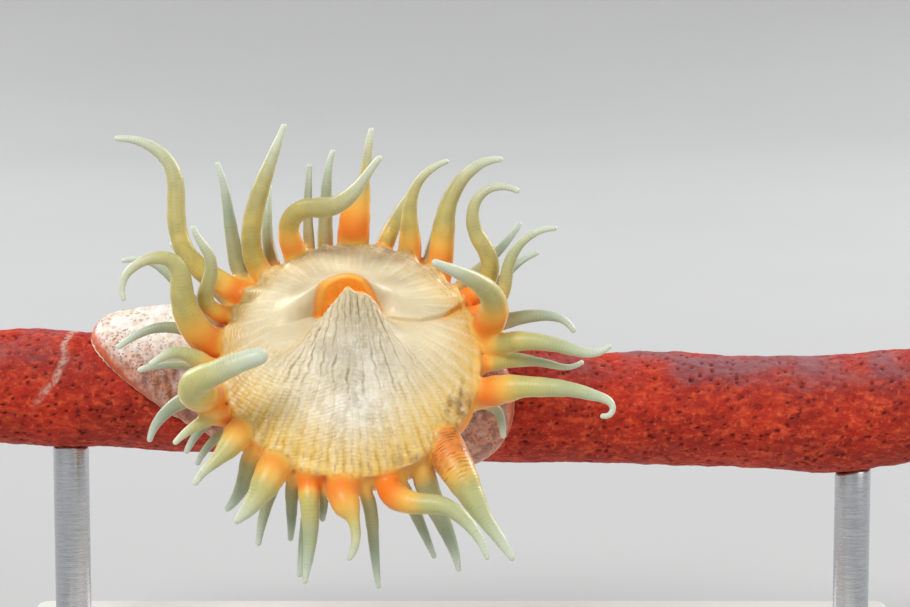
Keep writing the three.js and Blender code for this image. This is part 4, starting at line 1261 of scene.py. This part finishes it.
def branch_material(settings):
    """Streaked red rind with a grey-purple painted highlight on its upper side, a pale scrap across it, and a
    dark core at its cuts.
    """
    finish = Finish("branch_rind")
    maths, times, between, blend = finish.maths, finish.times, finish.between, finish.blend
    broad, fine, streaks = finish.grain(130), finish.grain(2400, 4), finish.grain(1700, 5, 0.68, (0.5, 1, 1))
    facing = finish.split(finish.add("ShaderNodeNewGeometry").outputs["Normal"])
    spot = finish.split(finish.place)
    # A grey-purple painted highlight where the rind faces up.
    painted_top_highlight = times(
        between(facing["Z"], 0.4, 0.95), between(broad, 0.36, 0.62), between(streaks, 0.35, 0.6, 0.45, 0.85))

    rise = maths("SUBTRACT", spot["Z"], (PERCH_HEIGHT + 1) * MM)
    crossing = maths("MULTIPLY_ADD", rise, SCRAP_SLANT, SCRAP_AT * MM)
    crossing = maths("MULTIPLY_ADD", maths("SUBTRACT", broad, 0.5), SCRAP_WANDER * MM, crossing)
    off_scrap = maths("ABSOLUTE", maths("SUBTRACT", spot["X"], crossing))
    scrap = times(
        between(off_scrap, 0.55 * MM, 0.1 * MM), between(rise, -1.5 * MM, 1.5 * MM),
        between(fine, 0.35, 0.6, 0.1, 0.7))

    off_axis = finish.split(finish.vector("SUBTRACT", {0: finish.place, 1: (0, PERCH_BACK * MM, 0)}))
    high = maths("SUBTRACT", off_axis["Z"], PERCH_HEIGHT * MM)
    far = maths("SQRT", maths("ADD", maths("POWER", off_axis["Y"], 2.0), maths("POWER", high, 2.0)))
    cut = between(maths("ABSOLUTE", spot["X"]), (PERCH_HALF - 0.12) * MM, (PERCH_HALF - 0.05) * MM)
    core, rim = blend(fine, "core dark", "core light"), blend(streaks, "cut red", "cut pale")
    section = blend(between(far, 2.2 * MM, 2.7 * MM), core, rim)
    rind = finish.paint(
        tuple(settings.red),
        (between(broad, 0.35, 0.65), "dull red"),
        (between(streaks, 0.46, 0.7, 0.0, 0.8), "light red"),
        (between(streaks, 0.46, 0.3, 0.0, 0.6), "dark red"),
        (between(fine, 0.54, 0.7, 0.0, 0.4), "rind fleck"),
        (painted_top_highlight, "painted_top_highlight"),
        (scrap, "scrap"),
        # Painted shade: the slits darkened to near-black red.
        (times(finish.carried("pit"), 0.92), "pit"),
        (cut, section))
    return finish.made({
        "Base Color": rind, "Roughness": between(fine, 0.3, 0.7, 0.5, 0.72), "Specular IOR Level": 0.22,
        "Subsurface Weight": 0.12, "Subsurface Radius": (1.0, 0.3, 0.2), "Subsurface Scale": 0.5 * MM,
    }, maths("MULTIPLY_ADD", fine, 1.7, streaks), 0.08)


def base_material(settings):
    finish = Finish("base_plastic")
    between, grain, pale = finish.between, finish.grain(2600, 2), tuple(settings.base_colour)
    colour = finish.blend(between(finish.grain(60), 0.3, 0.7), pale, tuple(0.94 * c for c in pale))
    roughness = between(grain, 0.3, 0.7, 0.42, 0.56)
    return finish.made({"Base Color": colour, "Roughness": roughness}, grain, 0.015, 0.6)


def rod_material():
    finish = Finish("rod_steel")
    between, lines = finish.between, finish.grain(700, 2, stretch=(1, 1, 30))
    colour = finish.blend(between(lines, 0.3, 0.7), "steel dark", "steel light")
    roughness = between(lines, 0.3, 0.7, 0.22, 0.34)
    return finish.made({"Base Color": colour, "Roughness": roughness, "Metallic": 1.0}, lines, 0.006, 0.3)


def paper_material(settings):
    finish = Finish("studio_paper")
    pale = tuple(settings.floor_colour)
    colour = finish.blend(finish.between(finish.grain(8), 0.3, 0.7), pale, tuple(0.97 * c for c in pale))
    return finish.made({"Base Color": colour, "Roughness": 0.9})


# ---------------- branch


def rind_tree():
    """Raises low lumps on a surface and sinks short slits into it, and stores how deep each point is sunk,
    which the rind's finish paints as shade.
    """
    nodes, given = new_tree("Branch Rind", {
        "Surface": "Geometry", "Pit Depth": "Float", "Pit Spacing": "Float", "Lump Height": "Float",
        "Rind": "Material"})
    maths, times, between, vector = nodes.maths, nodes.times, nodes.between, nodes.vector
    place = nodes.first("GeometryNodeInputPosition")
    normal = nodes.first("GeometryNodeInputNormal")
    along_branch = maths("ABSOLUTE", nodes.split(place)["X"])
    off_cut = between(along_branch, (PERCH_HALF - 0.6) * MM, (PERCH_HALF - 1.2) * MM)

    shaken = nodes.add("ShaderNodeTexNoise", {"Vector": place, "Scale": 500.0})
    shake = vector("SCALE", {0: shaken.outputs["Color"], "Scale": 0.6 * MM})
    seeds = vector("ADD", {0: vector("MULTIPLY", {0: place, 1: SLIT_STRETCH}), 1: shake})
    cells = nodes.add("ShaderNodeTexVoronoi", {
        "Vector": seeds, "Scale": maths("DIVIDE", 1.0, given["Pit Spacing"]), "Randomness": 0.9})
    here_and_there = between(nodes.noise(place, 300, 2, 0.5), 0.3, 0.46)
    sunk = times(between(cells.outputs["Distance"], 0.34, 0.12), here_and_there, off_cut)
    lumps = nodes.noise(place, 420, 3, 0.5)
    raised = times(maths("SUBTRACT", lumps, 0.5), off_cut, given["Lump Height"])
    lift = maths("SUBTRACT", raised, times(sunk, given["Pit Depth"]))

    marked = nodes.first("GeometryNodeStoreNamedAttribute", {
        "Geometry": given["Surface"], "Name": "pit", "Value": sunk}, data_type="FLOAT", domain="POINT")
    offset = vector("SCALE", {0: normal, "Scale": lift})
    moved = nodes.first("GeometryNodeSetPosition", {"Geometry": marked, "Offset": offset})
    return end_tree(nodes, moved, given["Rind"])


def build_branch(settings, material):
    """The branch, from rings given by their place along it, their share of its width and their inset."""
    end = [(-PERCH_HALF, share, CUT_ROUND) for share in (0, 0.25, 0.5, 0.75, 0.93)]
    for step in (0.0, 0.1, 0.28):
        end.append((step - PERCH_HALF, 1, CUT_ROUND * (1 - math.sin(math.acos(1 - step / CUT_ROUND)))))
    length = np.linspace(-PERCH_HALF + CUT_ROUND, PERCH_HALF - CUT_ROUND, BRANCH_STEPS)
    rings = []
    for x, share, inset in [*end, *((x, 1, 0) for x in length), *((-x, *rest) for x, *rest in reversed(end))]:
        turn = round_angles(BRANCH_SIDES if share else 1)
        r = (perch_radius(x) - inset) * share
        back, high = PERCH_BACK + r * np.cos(turn), perch_height(x) + r * np.sin(turn)
        rings.append(np.stack([np.full(len(turn), x), back, high], axis=1))
    points, faces = loft(rings)
    inner = 1 - smooth(np.abs(points[:, 0]), PERCH_HALF - 3, PERCH_HALF - 1)
    points = points + normals_of(points, faces) * (0.07 * mottle(points, 23, 9) * inner)[:, None]
    form = new_object("branch_form", mesh_of("branch_form", points, faces))
    mesh = run_tree(form, rind_tree(), {
        "Pit Depth": settings.pit_depth, "Pit Spacing": settings.pit_size,
        "Lump Height": settings.lump_height, "Rind": material})
    bpy.data.objects.remove(form)
    mesh.name = "perch_rind"
    return new_object("perch_rind", mesh)


# ---------------- stand


def in_mm(box):
    return (np.array(corner) / MM for corner in box)


def build_base(settings, material):
    """The flat base, with rounded corners and upper edge and a slight bevel under it."""
    low, high = in_mm(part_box("stand_base"))
    corner, edge = settings.corner_round / MM, settings.edge_round / MM
    middle, bottom, top = (high + low) / 2, low[2], high[2]

    def outline(inset, z):
        half, r = (high - low) / 2 - inset, max(corner - inset, 0.05)
        spots = []
        for k, (sx, sy) in enumerate(((1, 1), (-1, 1), (-1, -1), (1, -1))):
            for t in np.radians(np.linspace(0, 90, 9)) + k * math.pi / 2:
                x, y = sx * (half[0] - r) + r * math.cos(t), sy * (half[1] - r) + r * math.sin(t)
                spots.append((middle[0] + x, middle[1] + y, z))
        return np.array(spots)

    levels = [(0.25, bottom), (0.07, bottom + 0.07), (0, bottom + 0.25)]
    levels += [(0, z) for z in np.linspace(bottom + 0.6, top - edge, 4)]
    for t in np.radians([15, 35, 55, 75, 90]):
        levels.append((edge * (1 - math.cos(t)), top - edge + edge * math.sin(t)))
    levels += [(edge + inward, top) for inward in (4, 10, 17)]
    rings = [outline(inset, z) for inset, z in levels]
    points, faces = loft([[[0.0, 0.0, bottom]], *rings, [[0.0, 0.0, top]]])
    return new_object("stand_base_plate", mesh_of("stand_base_plate", points, faces, material=material))


def build_rod(side, material):
    """A round rod from just inside the base up to the branch, whose underside its end follows."""
    low, high = in_mm(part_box(f"stand_rod_{side}"))
    middle, radius = (high + low) / 2, (high[1] - low[1]) / 2
    bottom = low[2] - ROD_SUNK

    def ring(share, up=None, clear=None):
        """A ring at a height above the rod's bottom, or clear of the branch's underside."""
        turn = round_angles(ROD_SIDES if share else 1)
        x, y = middle[0] + radius * share * np.cos(turn), middle[1] + radius * share * np.sin(turn)
        if clear is None:
            return np.stack([x, y, np.full(len(turn), bottom + up)], axis=1)
        drop = np.sqrt(np.maximum((perch_radius(x) + clear) ** 2 - (y - PERCH_BACK) ** 2, 0.01))
        return np.stack([x, y, perch_height(x) - drop], axis=1)

    rings = [ring(share, up=up) for share, up in ((0, 0), (0.6, 0), (0.92, 0), (1, 0.12))]
    rings += [ring(1, up=up) for up in (0.7, 2, 5, 9, 12)]
    top = ((1, 0.3), (0.97, 0.12), (0.9, 0.03), (0.5, 0.03), (0, 0.03))
    rings += [ring(share, clear=clear) for share, clear in top]
    name = f"stand_rod_{side}_turned"
    return new_object(name, mesh_of(name, *loft(rings), material=material))


# ---------------- stage


def build_sweep(settings):
    """A round floor that bends up into a backdrop all round, in metres."""
    start, bend, sides = 0.5, 0.7, 96
    profile = [(r, 0.0) for r in (0.02, 0.1, 0.25, start)]
    for t in np.radians(np.linspace(4, 90, 22)):
        profile.append((start + bend * math.sin(t), bend * (1 - math.cos(t))))
    profile += [(start + bend, 1.2), (start + bend, 1.8)]
    turn = round_angles(sides)
    rings = [np.zeros((1, 3))]
    rings += [np.stack([r * np.cos(turn), r * np.sin(turn), np.full(sides, z)], axis=1) for r, z in profile]
    points = (np.concatenate(rings) - (0, 0, FLOOR_GAP)) / MM
    faces = rings_to_faces([len(ring) for ring in rings])
    mesh = mesh_of("studio_sweep", points, faces, material=paper_material(settings))
    return new_object("studio_sweep", mesh)


def build_stage(settings):
    sweep = build_sweep(settings)
    scene, middle = bpy.context.scene, Vector(DISC_PLACE * MM)
    for name, (place, size, share, tint) in LAMPS.items():
        lamp = bpy.data.lights.new(name, "AREA")
        lamp.shape, lamp.size, lamp.size_y = "RECTANGLE", *size
        lamp.energy, lamp.color = settings.key_light * share, tint
        made = new_object(name, lamp)
        made.location = place
        made.rotation_euler = (middle - Vector(place)).to_track_quat("-Z", "Y").to_euler()
    scene.world = bpy.data.worlds.new("studio")
    scene.world.use_nodes = True
    sky = scene.world.node_tree.nodes["Background"].inputs
    sky["Color"].default_value, sky["Strength"].default_value = (0.9, 0.93, 1.0, 1), 0.5
    scene.view_settings.view_transform = "Standard"

    sin, cos = math.sin(math.radians(FACING_UP)), math.cos(math.radians(FACING_UP))
    right, up, back = Vector((1, 0, 0)), Vector((0, sin, cos)), Vector((0, -cos, sin))
    aim = Vector(DISC_PLACE) + Vector((0, 0, -0.3)) + AIM_RIGHT * right + AIM_UP * up
    away = settings.camera_away / MM
    camera = bpy.data.cameras.new("camera")
    camera.sensor_width = 36
    camera.lens = camera.sensor_width / 2 * away / VIEW_HALF
    camera.clip_start, camera.clip_end = 0.01, 10
    made = new_object("camera", camera)
    turned = Matrix((right, up, back)).transposed().to_4x4()
    made.matrix_world = Matrix.Translation((aim + away * back) * MM) @ turned
    scene.camera = made


# ---------------- operators


FLESH = ["foot", "column", "oral_disc", "mouth"]
FLESH += [f"collar_{side}" for side in ("right", "upper", "left", "lower")]
FLESH += [f"tentacle_{n + 1:02d}_{part}" for n in range(len(LARGE)) for part in ("root", "tip")]


class ANEMONE_OT_skin(bpy.types.Operator):
    """Makes the animal's whole skin as one closed piece"""

    bl_idname = "anemone.skin"
    bl_label = "Anemone Skin"

    def execute(self, context):
        settings = context.scene.anemone_body
        piece = build_skin(settings, skin_material(settings))
        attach(piece, "root")
        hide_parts(*FLESH)
        return {"FINISHED"}


class ANEMONE_OT_branch(bpy.types.Operator):
    """Makes the cut length of branch with its pitted rind"""

    bl_idname = "anemone.branch"
    bl_label = "Branch"

    def execute(self, context):
        settings = context.scene.anemone_branch
        piece = build_branch(settings, branch_material(settings))
        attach(piece, "root")
        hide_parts("perch_branch")
        return {"FINISHED"}


class ANEMONE_OT_stand(bpy.types.Operator):
    """Makes the flat base and the two rods that hold the branch"""

    bl_idname = "anemone.stand"
    bl_label = "Display Stand"

    def execute(self, context):
        settings = context.scene.anemone_stand
        base = build_base(settings, base_material(settings))
        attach(base, "root")
        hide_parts("stand_base")
        steel = rod_material()
        for side in ("left", "right"):
            rod = build_rod(side, steel)
            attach(rod, "root")
            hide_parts(f"stand_rod_{side}")
        return {"FINISHED"}


class ANEMONE_OT_stage(bpy.types.Operator):
    """Makes the floor, the lights and the camera"""

    bl_idname = "anemone.stage"
    bl_label = "Stage"

    def execute(self, context):
        build_stage(context.scene.anemone_stage)
        return {"FINISHED"}


OPERATORS = (ANEMONE_OT_stage, ANEMONE_OT_stand, ANEMONE_OT_branch, ANEMONE_OT_skin)


class ANEMONE_PT_panel(bpy.types.Panel):
    """Lists the pieces of the anemone and their settings"""

    bl_label = "Branch Anemone"
    bl_idname = "ANEMONE_PT_panel"
    bl_space_type = "VIEW_3D"
    bl_region_type = "UI"
    bl_category = "Anemone"

    def draw(self, context):
        for operator in OPERATORS:
            self.layout.operator(operator.bl_idname)
        for name, group in SETTINGS.items():
            box = self.layout.box()
            for key in group.__annotations__:
                box.prop(getattr(context.scene, name), key)


CLASSES = (*SETTINGS.values(), *OPERATORS, ANEMONE_PT_panel)


def register():
    for entry in CLASSES:
        bpy.utils.register_class(entry)
    for name, group in SETTINGS.items():
        setattr(bpy.types.Scene, name, bpy.props.PointerProperty(type=group))


def unregister():
    for name in SETTINGS:
        delattr(bpy.types.Scene, name)
    for entry in reversed(CLASSES):
        bpy.utils.unregister_class(entry)


def main():
    register()
    bpy.ops.anemone.stage()
    bpy.ops.anemone.stand()
    bpy.ops.anemone.branch()
    bpy.ops.anemone.skin()


if __name__ == "__main__":
    main()
